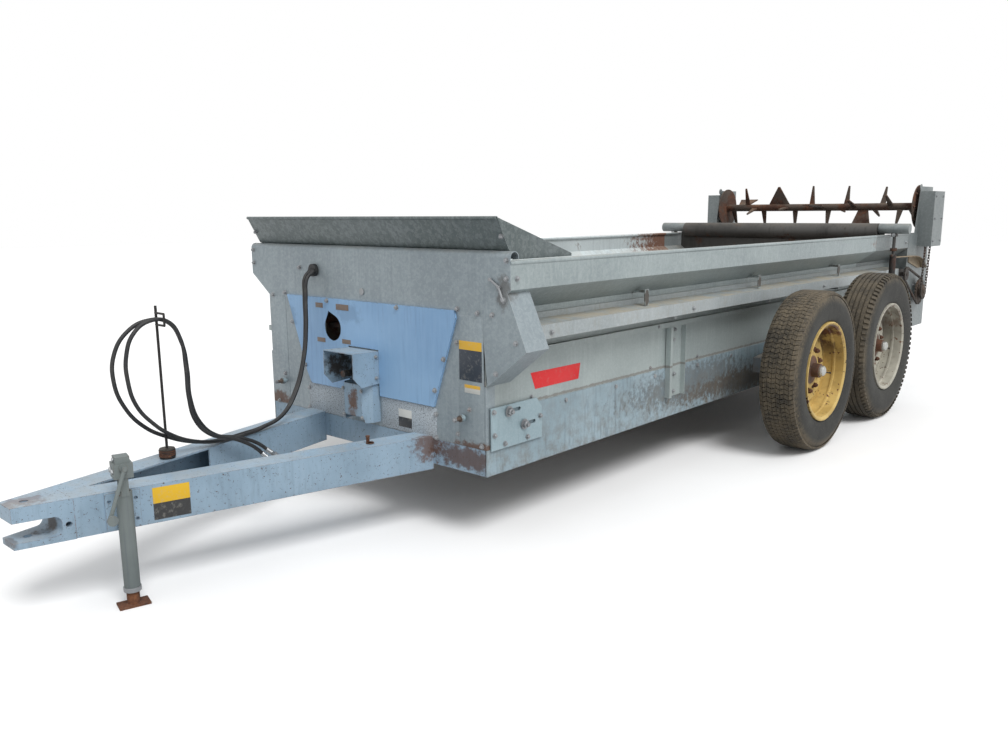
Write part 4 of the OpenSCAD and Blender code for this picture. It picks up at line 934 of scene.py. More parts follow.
class Growths(Library):
    """Geometry Nodes trees for what repeats."""

    def fasteners(self) -> Tree:
        """Bolt heads with washers on points, along each point's axis.

        Returns:
            The tree.
        """
        web, i = geometry("fasteners", {
            "Sides": 6, "Head radius": .01, "Head height": .008, "Washer radius": .014,
            "Washer height": .002, "Stud radius": .005, "Stud height": 0.0, "Seed": 1})
        head_r, head_h, washer_h = i["Head radius"], i["Head height"], i["Washer height"]
        half = web.times(head_h, .5)
        seat = web.plus(washer_h, half)
        top = web.plus(seat, half)
        tip = web.plus(top, web.times(i["Stud height"], .3))
        bolt = web.joined([
            web.raised("Cylinder", seat, {
                "Vertices": i["Sides"], "Radius": head_r, "Depth": head_h}),
            web.raised("Cone", top, {
                "Vertices": 12, "Radius Bottom": web.times(head_r, .88),
                "Radius Top": web.times(head_r, .62), "Depth": web.times(head_h, .22)}),
            web.raised("Cylinder", web.times(washer_h, .5), {
                "Vertices": 16, "Radius": i["Washer radius"], "Depth": washer_h}),
            web.raised("Cylinder", tip, {
                "Vertices": 10, "Radius": i["Stud radius"], "Depth": i["Stud height"]})])
        axis = web.named("axis", "FLOAT_VECTOR")
        aim = web.add("FunctionNodeAlignRotationToVector", {"Vector": axis}, axis="Z").outputs[0]
        by = web.turned(z=web.chance(0.0, 6.283, i["Seed"]))
        aim = web.add("FunctionNodeRotateRotation", {0: aim, 1: by}, rotation_space="LOCAL")
        made = web.copies(i["Geometry"], bolt, Rotation=aim.outputs[0])
        return web.finish(made, i["Material"])

    def round_axle(self) -> Tree:
        """Copies of one segment round the X axis, each worn a little.

        Returns:
            The tree.
        """
        web, i = geometry("round_axle", {"Count": 60, "Wear": .002, "Seed": 1})
        line = web.add("GeometryNodeMeshLine", {"Count": i["Count"], "Offset": (0.0, 0.0, 0.0)},
                       mode="OFFSET").outputs[0]
        index = web.add("GeometryNodeInputIndex").outputs[0]
        angle = web.times(index, web.over(math.tau, i["Count"]))
        keep = web.minus(1.0, web.chance(0.0, i["Wear"], i["Seed"]))
        made = web.copies(line, i["Geometry"], Rotation=web.turned(x=angle),
                          Scale=web.point(1.0, keep, keep))
        return web.finish(made, i["Material"])

    def links_on_path(self) -> Tree:
        """Two kinds of link in turn along a closed path in an upright plane.

        Returns:
            The tree.
        """
        web, i = geometry("links_on_path", {"Links": 60, "Inner link": None, "Outer link": None})
        curve = web.add("GeometryNodeMeshToCurve", {0: i["Geometry"]}).outputs[0]
        curve = web.add("GeometryNodeResampleCurve", {"Curve": curve, "Count": i["Links"]},
                        mode="COUNT").outputs[0]
        along = web.axes(web.add("GeometryNodeInputTangent").outputs[0])
        turn = web.turned(x=web.math("ARCTAN2", along[2], along[1]))
        odd = web.math("MODULO", web.add("GeometryNodeInputIndex").outputs[0], 2.0)
        rows = []
        for label, pick in (("Inner link", web.minus(1.0, odd)), ("Outer link", odd)):
            link = web.add("GeometryNodeObjectInfo", {"Object": i[label]}).outputs["Geometry"]
            rows.append(web.copies(curve, link, Selection=pick, Rotation=turn))
        return web.finish(web.joined(rows), i["Material"])

    def boards(self) -> Tree:
        """Planks side by side across X, with gaps and uneven ends.

        Returns:
            The tree.
        """
        web, i = geometry("boards", {
            "Count": 12, "Width": .14, "Length": 5.0, "Thickness": .03, "Gap": .003,
            "Unevenness": .004, "Seed": 1})
        start = web.times(web.times(web.minus(i["Count"], 1.0), i["Width"]), -.5)
        line = web.add("GeometryNodeMeshLine", {
            "Count": i["Count"], "Offset": web.point(x=i["Width"]),
            "Start Location": web.point(x=start)}, mode="OFFSET").outputs[0]
        size = web.point(web.minus(i["Width"], i["Gap"]), i["Length"], i["Thickness"])
        board = web.add("GeometryNodeMeshCube", {0: size, 2: 24}).outputs[0]
        off = web.chance(0.0, i["Unevenness"], i["Seed"])
        keep = web.minus(1.0, web.over(off, i["Length"]))
        made = web.copies(line, board, Scale=web.point(1.0, keep, 1.0))
        return web.finish(made, i["Material"])

    def bars_on_points(self) -> Tree:
        """Copies of one bar on points, turned by each point's turn.

        Returns:
            The tree.
        """
        web, i = geometry("bars_on_points", {"Bar": None, "Bend": .01, "Seed": 1})
        bar = web.add("GeometryNodeObjectInfo", {"Object": i["Bar"]}).outputs["Geometry"]
        off = web.chance(web.times(i["Bend"], -1.0), i["Bend"], i["Seed"])
        turn = web.turned(x=web.plus(web.named("turn", "FLOAT"), off))
        made = web.copies(i["Geometry"], bar, Rotation=turn)
        return web.finish(made, i["Material"])

    def coil(self) -> Tree:
        """A coil spring that stands at the carrier's origin.

        Returns:
            The tree.
        """
        web, i = geometry("coil", {"Turns": 6.0, "Radius": .02, "Wire": .005, "Height": .06})
        path = web.add("GeometryNodeCurveSpiral", {
            "Resolution": 24, "Rotations": i["Turns"], "Start Radius": i["Radius"],
            "End Radius": i["Radius"], "Height": i["Height"]}).outputs[0]
        wire = web.add("GeometryNodeCurvePrimitiveCircle", {
            "Resolution": 10, "Radius": i["Wire"]}).outputs[0]
        tube = web.add("GeometryNodeCurveToMesh", {
            "Curve": path, "Profile Curve": wire, "Fill Caps": True}).outputs[0]
        return web.finish(tube, i["Material"])


GROWTHS = Growths()


def grown(tree_name: str, base: Thing, finish: object, **values: object) -> Mesh:
    """Runs a tree on a carrier, which is used up.

    Args:
        tree_name: name of the tree in Growths.
        base: object whose mesh the tree starts from.
        finish: finish of the result.
        values: the tree's inputs, with _ for a space and a small first letter.

    Returns:
        The result as a plain mesh.
    """
    tree = GROWTHS.get(tree_name)
    ids = {s.name: s.identifier for s in tree.interface.items_tree
           if getattr(s, "in_out", "") == "INPUT"}
    mod = base.modifiers.new("grow", "NODES")
    mod.node_group = tree
    mod[ids["Material"]] = PAINTS.get(finish)
    for key, value in values.items():
        mod[ids[key.replace("_", " ").capitalize()]] = value
    bpy.context.view_layer.update()
    graph = bpy.context.evaluated_depsgraph_get()
    mesh = bpy.data.meshes.new_from_object(base.evaluated_get(graph), depsgraph=graph)
    base.modifiers.remove(mod)
    bpy.data.objects.remove(base)
    return mesh


def carrier(name: str, verts: Sequence[Point], closed: bool = False) -> Thing:
    """Makes an object that only carries points for a tree.

    Args:
        name: the object's name.
        verts: its points.
        closed: whether edges join them in a ring.

    Returns:
        The object.
    """
    count = len(verts) if closed else 0
    mesh = bpy.data.meshes.new(name)
    mesh.from_pydata([tuple(v) for v in verts], [(k, (k + 1) % count) for k in range(count)], [])
    return linked(name, mesh)


def merged(name: str, meshes: Sequence[Mesh]) -> Mesh:
    """Makes one mesh of several.

    Args:
        name: its name.
        meshes: the meshes.

    Returns:
        The new mesh.
    """
    both = bmesh.new()
    for mesh in meshes:
        both.from_mesh(mesh)
    mesh = bpy.data.meshes.new(name)
    both.to_mesh(mesh)
    both.free()
    return mesh


# ---- Mesh making

def placed(name: str, mesh: Mesh, body: str, finish: object,
           move: Matrix | None = None) -> Thing:
    """Makes a mesh of the panel's frame a piece that rides on a body.

    Args:
        name: the piece's name.
        mesh: its mesh.
        body: the CAD body it rides on.
        finish: its finish.
        move: a move within the panel's frame, made first.

    Returns:
        The piece.
    """
    if move is not None:
        mesh.transform(move)
    mesh.transform(Matrix.Translation((0.0, -BACK, 0.0)))
    mesh.name = name
    obj = linked(name, mesh)
    if not mesh.materials:
        mesh.materials.append(PAINTS.get(finish))
    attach(obj, body)
    LOG.info("made %s on %s, %d faces", name, body, len(mesh.polygons))
    return obj


class Shop:
    """Builds one mesh of cut plates, rods and turned parts."""

    def __init__(self, name: str) -> None:
        """Starts empty, with the name of what it will make."""
        self.name = name
        self.bm = bmesh.new()

    def prism(self, outline: Sequence[Flat], axis: str, low: float, high: float,
              bevel: float = 0.0) -> "Shop":
        """Adds an outline drawn out along an axis.

        Args:
            outline: corners in the other two axes, in the order X, Y, Z.
            axis: x, y or z.
            low: start along the axis.
            high: end along the axis.
            bevel: width of the bevel on all edges.

        Returns:
            The shop.
        """
        place, n = "xyz".index(axis), len(outline)
        lower, upper = ([self.bm.verts.new((*p[:place], h, *p[place:])) for p in outline]
                        for h in (low, high))
        faces = [self.bm.faces.new(lower[::-1]), self.bm.faces.new(upper)]
        for k in range(n):
            j = (k + 1) % n
            faces.append(self.bm.faces.new((lower[k], lower[j], upper[j], upper[k])))
        if bevel > 0:
            edges = list({e for f in faces for e in f.edges})
            bmesh.ops.bevel(self.bm, geom=edges, offset=bevel, segments=2, profile=.5,
                            affect="EDGES", clamp_overlap=True)
        return self

    def plate(self, corner: Flat, far: Flat, axis: str, low: float, high: float,
              bevel: float = 0.0) -> "Shop":
        """Adds a block by two corners in the other two axes, drawn out along an axis."""
        (a0, b0), (a1, b1) = corner, far
        return self.prism([(a0, b0), (a1, b0), (a1, b1), (a0, b1)], axis, low, high, bevel)

    def turned(self, profile: Sequence[Flat], at: Point, axis: Point, sides: int) -> "Shop":
        """Adds a turned part.

        Args:
            profile: (radius, distance along the axis) from one end to the other.
            at: start of the axis.
            axis: its direction.
            sides: number of sides.

        Returns:
            The shop.
        """
        quat = Vector((0, 0, 1)).rotation_difference(Vector(axis).normalized())
        rings = []
        for radius, along in profile:
            spots = ring(radius, sides) if radius > 1e-6 else [(0, 0)]
            rings.append([self.bm.verts.new(Vector(at) + quat @ Vector((a, b, along)))
                          for a, b in spots])
        for a, b in zip(rings, rings[1:]):
            for k in range(sides):
                j = (k + 1) % sides
                quad = [a[k % len(a)], a[j % len(a)], b[j % len(b)], b[k % len(b)]]
                self.bm.faces.new(list(dict.fromkeys(quad)))
        for end, flip in ((rings[0], True), (rings[-1], False)):
            if len(end) > 2:
                self.bm.faces.new(end[::-1] if flip else end)
        return self

    def rod(self, a: Point, b: Point, r: float, sides: int = 12) -> "Shop":
        """Adds a round rod with softened ends.

        Args:
            a: one end.
            b: the other end.
            r: its radius.
            sides: number of sides.

        Returns:
            The shop.
        """
        way = Vector(b) - Vector(a)
        soft = r * .15
        profile = [(r - soft, 0.0), (r, soft), (r, way.length - soft), (r - soft, way.length)]
        return self.turned(profile, a, tuple(way), sides)

    def sheet(self, path: Sequence[Flat], thick: float, axis: str, low: float, high: float,
              bevel: float) -> "Shop":
        """Adds a bent sheet.

        Args:
            path: its outer face in the other two axes.
            thick: thickness to the path's left.
            axis: axis along which it is drawn out.
            low: start along the axis.
            high: end along the axis.
            bevel: width of the bevel on all edges.

        Returns:
            The shop.
        """
        pts = [Vector(p) for p in path]
        norms = [Vector((-(b - a).y, (b - a).x)).normalized() for a, b in zip(pts, pts[1:])]
        inner = []
        for k, p in enumerate(pts):
            n0, n1 = norms[max(k - 1, 0)], norms[min(k, len(norms) - 1)]
            inner.append(p + (n0 + n1) * (thick / (1 + n0.dot(n1))))
        return self.prism([tuple(p) for p in pts + inner[::-1]], axis, low, high, bevel)

    def torus(self, rows: Sequence[Sequence[Point]]) -> "Shop":
        """Adds a skin over rows of points that close both ways."""
        grid = [[self.bm.verts.new(p) for p in row] for row in rows]
        for one, two in zip(grid, grid[1:] + grid[:1]):
            for j, vert in enumerate(one):
                i = (j + 1) % len(one)
                self.bm.faces.new((vert, one[i], two[i], two[j]))
        return self

    def mirrored(self) -> "Shop":
        """Adds the mirror image in X of all that is there.

        Returns:
            The shop.
        """
        every = self.bm.verts[:] + self.bm.edges[:] + self.bm.faces[:]
        for item in bmesh.ops.duplicate(self.bm, geom=every)["geom"]:
            if isinstance(item, bmesh.types.BMVert):
                item.co.x = -item.co.x
        return self

    def mesh(self) -> Mesh:
        """The mesh, with outward faces.

        Returns:
            The mesh.
        """
        bmesh.ops.recalc_face_normals(self.bm, faces=self.bm.faces[:])
        mesh = bpy.data.meshes.new(self.name)
        self.bm.to_mesh(mesh)
        self.bm.free()
        for face in mesh.polygons:
            face.use_smooth = True
        mesh.set_sharp_from_angle(angle=math.radians(SHARP))
        return mesh

    def pattern(self) -> Thing:
        """The mesh on an object that a tree copies."""
        return linked(self.name, self.mesh())

    def piece(self, finish: object, slot: str, body: str = "chassis",
              move: Matrix | None = None) -> Thing:
        """The mesh as a piece that rides on a body; the arguments are those of placed(), and slot
        is not used.
        """
        return placed(self.name, self.mesh(), body, finish, move)


class Bolt(Enum):
    """Sizes of bolt: sides, head radius and height, washer radius, stud height."""

    SMALL = (6, .0075, .0055, .0105, .003)
    MEDIUM = (6, .0095, .008, .0132, .006)
    LARGE = (6, .018, .014, .026, .016)
    ROUND = (12, .0105, .004, .012, 0.0)
    LUG = (6, .017, .020, .023, .012)


def bolts(name: str, kind: Bolt, spots: Sequence[Spot], seed: int, body: str = "chassis",
          rusty: bool = False, move: Matrix | None = None) -> Thing:
    """Makes one piece of all bolts of a kind on a body.

    Args:
        name: the piece's name.
        kind: the bolt's size.
        spots: (place, outward axis) of each bolt.
        seed: seed of their random turns.
        body: the CAD body it rides on.
        rusty: whether they are rusty steel and not zinc.
        move: a move within the panel's frame.

    Returns:
        The piece.
    """
    sides, head, high, washer, stud = kind.value
    finish, slot = (Metal.RUST, "rusty_steel") if rusty else (Metal.ZINC, "bright_steel")
    base = carrier(name, [s[0] for s in spots])
    axes = base.data.attributes.new("axis", "FLOAT_VECTOR", "POINT")
    axes.data.foreach_set("vector", [c for s in spots for c in s[1]])
    mesh = grown("fasteners", base, finish, sides=sides, head_radius=head, head_height=high,
                 washer_radius=washer, washer_height=.0025, stud_radius=head * .55,
                 stud_height=stud, seed=seed)
    return placed(name, mesh, body, finish, move)


def outward(x: float, rows: Sequence[Flat], both: bool = True) -> list[Spot]:
    """Spots (y, z) on an upright plane of the left side, or of both, looking out."""
    return [((s * x, y, z), (s, 0, 0)) for s in ((1, -1) if both else (1,)) for y, z in rows]


def forward(y: float, rows: Sequence[Flat]) -> list[Spot]:
    """Spots on an upright plane across the machine, looking forward."""
    return [((x, y, z), (0, -1, 0)) for x, z in rows]


# ---- Studio

def camera_seen(web: Web) -> Socket:
    """One for rays that show the background, by sight, gloss or glass, and else zero."""
    ray = web.add("ShaderNodeLightPath").outputs
    seen, gloss, glass = (ray[f"Is {kind} Ray"] for kind in ("Camera", "Glossy", "Transmission"))
    return web.most(seen, web.most(gloss, glass))


@dataclass
class Studio:
    """Camera at the photo's place, pale floor, soft light."""

    place: Point = (3.494, -4.975, 1.552)
    right: Point = (.7477, .6640, -.0062)
    up: Point = (-.1210, .1454, .9819)
    back: Point = (.6529, -.7334, .1891)
    lens: float = 30.75
    sensor: float = 36.0
    far_clip: float = 200.0
    floor_half: float = 40.0
    floor_rough: float = .9
    bounce: float = .4
    key: float = 2.1
    key_from: Point = (.95, -.30, 1.30)
    key_spread: float = 28.0
    sky: float = .74

    def camera(self) -> None:
        """Sets the camera as the photo was taken."""
        data = bpy.data.cameras.new("camera")
        data.lens, data.sensor_width, data.clip_end = self.lens, self.sensor, self.far_clip
        turn = Matrix((self.right, self.up, self.back)).transposed().to_4x4()
        cam = linked("camera", data)
        cam.matrix_world = Matrix.Translation(self.place) @ turn
        bpy.context.scene.camera = cam

    def ground(self) -> None:
        """Makes the floor, white to the camera but for the shadow on it."""
        h = self.floor_half
        mesh = bpy.data.meshes.new("floor")
        mesh.from_pydata([(-h, -h, 0), (h, -h, 0), (h, h, 0), (-h, h, 0)], [], [(0, 1, 2, 3)])
        coat = Coat("floor")
        web = coat.web
        tone = web.remap(web.noise(coat.vec, .8, 3.0), .3, .7, .93, .97)
        tone = web.times(tone, web.remap(camera_seen(web), 0.0, 1.0, self.bounce, 1.0))
        grey = web.add("ShaderNodeCombineColor", {k: tone for k in range(3)})
        coat.set("Base Color", grey.outputs[0])
        coat.set("Roughness", self.floor_rough)
        mesh.materials.append(coat.mat)
        linked("floor", mesh)

    def lights(self) -> None:
        """Makes the soft key light and the sky."""
        data = bpy.data.lights.new("key", "SUN")
        data.energy, data.angle = self.key, math.radians(self.key_spread)
        sun = linked("key", data)
        sun.rotation_euler = Vector(self.key_from).to_track_quat("Z", "Y").to_euler()
        world = bpy.data.worlds.new("sky")
        bpy.context.scene.world = world
        world.use_nodes = True
        web = Web(world.node_tree)
        web.tree.nodes.clear()
        glow = web.plus(self.sky, web.times(camera_seen(web), 1.0 - self.sky))
        sky = web.add("ShaderNodeBackground", {"Color": (1.0, 1.0, 1.0, 1.0), "Strength": glow})
        web.add("ShaderNodeOutputWorld", {"Surface": sky.outputs[0]})

    def build(self) -> None:
        """Sets the whole studio up."""
        bpy.context.scene.view_settings.view_transform = "Standard"
        self.camera()
        self.ground()
        self.lights()


# ---- The machine's sub-assemblies

@dataclass
class Hoses:
    """The two hydraulic hoses, with their couplings, boots and fittings."""

    radius: float = .009
    smooth: float = 1.006       # length of the smooth curve over that of its chords
    crimps: int = 6
    knurls: int = 8
    routes: dict[str, tuple[Point, ...]] = field(default_factory=lambda: {
        "hose_a": (
            (-.412, -.0206, 1.248), (-.412, -.060, 1.215), (-.405, -.075, 1.120),
            (-.390, -.090, .960), (-.365, -.130, .790), (-.330, -.220, .620),
            (-.290, -.330, .520), (-.262, -.470, .486), (-.235, -.600, .481),
            (-.208, -.740, .482), (-.185, -.880, .505), (-.165, -1.020, .560),
            (-.155, -1.130, .630), (-.150, -1.210, .730), (-.145, -1.250, .850),
            (-.140, -1.240, .970), (-.132, -1.180, 1.060), (-.126, -1.090, 1.101),
            (-.122, -1.000, 1.085), (-.120, -.945, .990), (-.122, -.925, .860),
            (-.125, -.920, .730), (-.130, -.880, .610), (-.135, -.800, .530),
            (-.130, -.700, .500), (-.118, -.600, .455), (-.108, -.530, .395)),
        "hose_b": (
            (-.384, -.0206, 1.247), (-.384, -.064, 1.210), (-.378, -.082, 1.110),
            (-.362, -.100, .950), (-.336, -.145, .780), (-.302, -.235, .612),
            (-.264, -.345, .524), (-.236, -.480, .490), (-.209, -.610, .480),
            (-.182, -.750, .484), (-.152, -.890, .514), (-.125, -1.020, .575),
            (-.116, -1.110, .650), (-.114, -1.176, .740), (-.108, -1.206, .850),
            (-.105, -1.205, .960), (-.103, -1.165, 1.055), (-.102, -1.090, 1.101),
            (-.100, -1.010, 1.090), (-.098, -.960, 1.010), (-.098, -.945, .880),
            (-.098, -.942, .740), (-.100, -.915, .625), (-.104, -.840, .545),
            (-.102, -.740, .508), (-.090, -.640, .452), (-.080, -.575, .388))})

    def curve(self, node: str, pts: tuple[Point, ...]) -> Thing:
        """Makes one hose as a curve through its points.

        Args:
            node: the CAD node it stands for.
            pts: its route.

        Returns:
            The piece.
        """
        data = bpy.data.curves.new(node, "CURVE")
        data.dimensions, data.bevel_depth, data.bevel_resolution = "3D", self.radius, 3
        data.resolution_u, data.use_fill_caps = 10, True
        line = data.splines.new("BEZIER")
        line.bezier_points.add(len(pts) - 1)
        for knot, p in zip(line.bezier_points, pts):
            knot.co = rowed(p)
            knot.handle_left_type = knot.handle_right_type = "AUTO"
        data.materials.append(PAINTS.get(HoseRubber()))
        obj = linked(f"{node}_tube", data)
        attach(obj, "chassis")
        return obj

    def coupling(self, name: str, pts: tuple[Point, ...]) -> Thing:
        """Makes the quick coupling at a hose's end, with its crimped sleeve.

        Args:
            name: the piece's name.
            pts: the hose's route.

        Returns:
            The piece.
        """
        end, way = Vector(pts[-1]), (Vector(pts[-1]) - Vector(pts[-2])).normalized()
        shop, axis, r = Shop(name), tuple(way), self.radius
        sleeve = [(r + .0001, 0.0), (r + .0022, .001)]
        for k in range(self.crimps):
            sleeve += [(r + .0034, .003 + k * .0048), (r + .0022, .0055 + k * .0048)]
        sleeve += [(r + .0036, .0315), (.0, .0316)]
        shop.turned(sleeve, tuple(end - way * .030), axis, 20)
        nose = tuple(end + way * .0008)
        shop.turned([(.0, 0.0), (.0118, 0.0), (.0128, .001), (.0128, .0185), (.0118, .0198),
                     (.0, .0198)], nose, axis, 6)
        collar = [(.0, .0200), (.0122, .0202), (.0122, .0225), (.0148, .0235)]
        for k in range(self.knurls):
            collar += [(.0149, .0255 + k * .0034), (.0143, .0272 + k * .0034)]
        collar += [(.0148, .0555), (.0140, .0572), (.0098, .0578), (.0098, .0680),
                   (.0086, .0698), (.0, .0698)]
        return shop.turned(collar, nose, axis, 24).piece(Metal.BRIGHT, "bright_steel")

    def boot(self, name: str, pts: tuple[Point, ...]) -> Thing:
        """Makes the tapered rubber boot where a hose leaves its grommet.

        Args:
            name: the piece's name.
            pts: the hose's route.

        Returns:
            The piece.
        """
        start, way = Vector(pts[0]), (Vector(pts[1]) - Vector(pts[0])).normalized()
        r = self.radius
        profile = [(r + .0052, 0.0), (r + .0055, .002)]
        for k in range(4):
            taper = .0046 - k * .0010
            profile += [(r + taper, .004 + k * .006), (r + taper - .0010, .0065 + k * .006)]
        profile += [(r + .0004, .0290), (r + .00005, .0292)]
        boot = Shop(name).turned(profile, tuple(start + way * .001), tuple(way), 20)
        return boot.piece(HoseRubber(), "hose_rubber")

    def build(self) -> None:
        """Makes both hoses in place of the plain ones."""
        ends = []
        for node, pts in self.routes.items():
            tube = self.curve(node, pts)
            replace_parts(tube, node)
            boot, end = self.boot(f"{node}_boot", pts), self.coupling(f"{node}_coupling", pts)
            ends.append(end)
        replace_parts(ends[0], "hose_couplers")


@dataclass
class Wheel:
    """One wheel: tyre carcass with its tread, nuts and valve."""

    node: str
    body: str
    centre: Point
    radius: float
    paint: WheelPaint
    front: bool
    seed: int
    inner: float = .312         # radius of the tyre's bead
    crown: float = .011         # height of the lugs
    nut_face: float = 1.2842
    nut_ring: float = .143
    nuts: int = 10

    @property
    def rubber(self) -> TyreRubber:
        """The tyre's rubber."""
        worn = .95 if self.front else .7
        return TyreRubber(f"rubber_{self.node}", self.centre, self.radius, worn)

    @property
    def out(self) -> float:
        """1 on the machine's left, -1 on its right."""
        return 1.0 if self.centre[0] > 0 else -1.0

    @property
    def segments(self) -> int:
        """How often the tread repeats round the wheel."""
        return 104 if self.front else 84

    def carcass(self) -> Mesh:
        """Makes the tyre's body.

        Returns:
            The mesh.
        """
        r, low, bead = self.radius, self.radius - self.crown, self.inner
        rim = [(bead + .0005, -.085), (bead + .0125, -.0925), (bead + .0155, -.105),
               (bead + .024, -.112)]
        side = [(bead + .040, .117), (r - .125, .1235), (r - .105, .1245), (r - .085, .1240),
                (r - .060, .1205), (r - .046, .1165), (r - .030, .1100), (low - .008, .0990),
                (low - .002, .0860), (low, .0700), (low, .0350)]
        profile = rim + [(a, -b) for a, b in side] + [(low, 0.0)] + side[::-1]
        profile += [(a, -b) for a, b in rim[::-1]]
        return Shop(f"{self.node}_body").torus(
            [[(b, a * math.cos(t), a * math.sin(t)) for a, b in profile]
             for t in angles(120)]).mesh()

    def lug(self, shop: Shop, corners: Sequence[Flat], taper: float) -> None:
        """Adds a lug of the tread at the top of the wheel, narrower above.

        Args:
            shop: the shop that makes the segment.
            corners: its outline in x and arc length.
            taper: its length above as a share of that below.
        """
        base, count = self.radius - .0125, len(corners)
        mid_x, mid_s = (sum(c[k] for c in corners) / count for k in (0, 1))
        lower, upper = [], []
        for x, s in corners:
            x1 = mid_x + (x - mid_x) * .92
            for verts, across, turn, high in (
                    (lower, x, s / base, base),
                    (upper, x1, (mid_s + (s - mid_s) * taper) / self.radius, self.radius)):
                high -= max(0.0, abs(across) - .072) ** 2 * 8.0
                verts.append(shop.bm.verts.new(
                    (across, high * math.sin(turn), high * math.cos(turn))))
        shop.bm.faces.new(upper)
        for k in range(count):
            j = (k + 1) % count
            shop.bm.faces.new((lower[k], lower[j], upper[j], upper[k]))

    def block(self) -> Thing:
        """Makes one segment of tread at the top of the wheel.

        Returns:
            The carrier with the segment.
        """
        shop = Shop(f"{self.node}_segment")
        pitch = math.tau * self.radius / self.segments
        if self.front:
            d, h = pitch * .46, .0138
            for k in range(8):
                x, v = (k - 3.5) * .028, pitch * (.36 if k % 2 else -.36)
                self.lug(shop, [(x - h, -d - v / 2), (x + h, -d + v / 2), (x + h, d + v / 2),
                                (x - h, d - v / 2)], .93)
        else:
            for k in range(5):
                x, h, d = (k - 2) * .034, .0125, pitch / 2
                self.lug(shop, [(x - h, -d), (x + h, -d), (x + h, d), (x - h, d)], 1.0)
            for s in (-1, 1):
                d = s * pitch * .29
                self.lug(shop, [(s * .086, -d), (s * .118, -d), (s * .118, d), (s * .086, d)], .88)
        return shop.pattern()

    def build(self) -> None:
        """Makes the tyre and what sits on the rim, and dresses the rim."""
        at = Matrix.Translation(self.centre)
        tread = grown("round_axle", self.block(), self.rubber, count=self.segments, wear=0.0,
                      seed=self.seed)
        mesh = merged(self.node, (self.carcass(), tread))
        mesh.set_sharp_from_angle(angle=math.radians(SHARP))
        tyre = placed(f"{self.node}_tread", mesh, self.body, self.rubber, at)
        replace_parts(tyre, f"tyre_{self.node}")
        dress(f"rim_{self.node}", self.paint)
        face = self.out * (self.nut_face - abs(self.centre[0]))
        spots = [((face, y, z), (self.out, 0, 0)) for y, z in ring(self.nut_ring, self.nuts, .5)]
        bolts(f"{self.node}_nuts", Bolt.LUG, spots, self.seed, self.body, True, at)
        knots = [(self.out * x, y, z) for x, y, z in
                 ((-.018, .236, -.05), (.034, .246, -.052), (.048, .249, -.0525))]
        valve = Shop(f"{self.node}_valve")
        for a, b, r in zip(knots, knots[1:], (.0045, .0062)):
            valve.rod(a, b, r, 10)
        valve.piece(Metal.CASTING, "dark_steel", self.body, at)


@dataclass
class Hitch:
    """Tongue, jack and hose holder: bolt heads, collar, pin, plate and spring."""

    tip_half: float = .058
    length: float = 1.770
    half: float = .500
    high: float = .470
    jack_y: float = -1.390
    jack_x: float = .050
    holder: Point = (-.1443, -1.040, .4803)
    pin: Flat = (.350, -.287)
    sign_y: Flat = (-1.278, -1.135)
    sign_z: Flat = (.318, .455)

    def leg_x(self, y: float) -> float:
        """X of a leg's outer face."""
        return self.tip_half + (y + self.length) * (self.half - self.tip_half) / self.length

    @property
    def jack_frame(self) -> Matrix:
        """Move from the jack's own frame to the panel's."""
        turn = math.atan((self.half - self.tip_half) / self.length)
        place = Matrix.Translation((self.leg_x(self.jack_y), self.jack_y, 0.0))
        return place @ Matrix.Rotation(-turn, 4, "Z")

    def jack(self) -> None:
        """Makes the jack's collar and the bolts of its gear cover."""
        collar = Shop("jack_collars").turned(
            [(.031, 0.0), (.0345, .001), (.0350, .010), (.0345, .019), (.031, .020)],
            (self.jack_x, 0, .0605), (0, 0, 1), 36)
        for x, y, z, r in ((-.020, -.0358, .568, .011), (.020, -.0358, .568, .011),
                           (0.0, -.0268, .612, .008)):
            collar.turned([(.0, 0.0), (r * .9, 0.0), (r, .0015), (r, .006), (r * .8, .008),
                           (.0, .0085)], (self.jack_x + x, y, z), (0, -1, 0), 6)
        collar.piece(Metal.ZINC, "bright_steel", "jack_tube", self.jack_frame)

    def build(self) -> None:
        """Makes the pieces of the front end of the tongue."""
        self.jack()
        spring = grown("coil", carrier("spring_base", [(0, 0, 0)]), Metal.RUST, turns=3.6,
                       radius=.0312, wire=.0055, height=.0300)
        placed("holder_spring", spring, "chassis", Metal.RUST,
               Matrix.Translation(self.holder))
        x, y = self.pin
        pin = Shop("leg_pin").turned(
            [(.0, 0.0), (.0085, 0.0), (.0085, .030), (.0105, .031), (.0105, .036), (.0, .037)],
            (x, y, self.high), (0, 0, 1), 16)
        wire = ring(.0028, 8)
        pin.turned([(.0175 + a, .0045 + b) for a, b in wire + wire[:1]],
                   (x + .016, y, self.high), (0, 0, 1), 20)
        pin.piece(Metal.RUST, "rusty_steel")
        (x0, y0), (x1, y1) = ((self.leg_x(y) + PROUD, y) for y in self.sign_y)
        Shop("leg_plate").prism([(x0, y0), (x1, y1), (x1 + .001, y1), (x0 + .001, y0)], "z",
                                *self.sign_z, .0003).piece(
            Sticker("leg_plate", "#d9ad1f", ((.388, "#2a2b2c"),), .4), "galv_sheet")


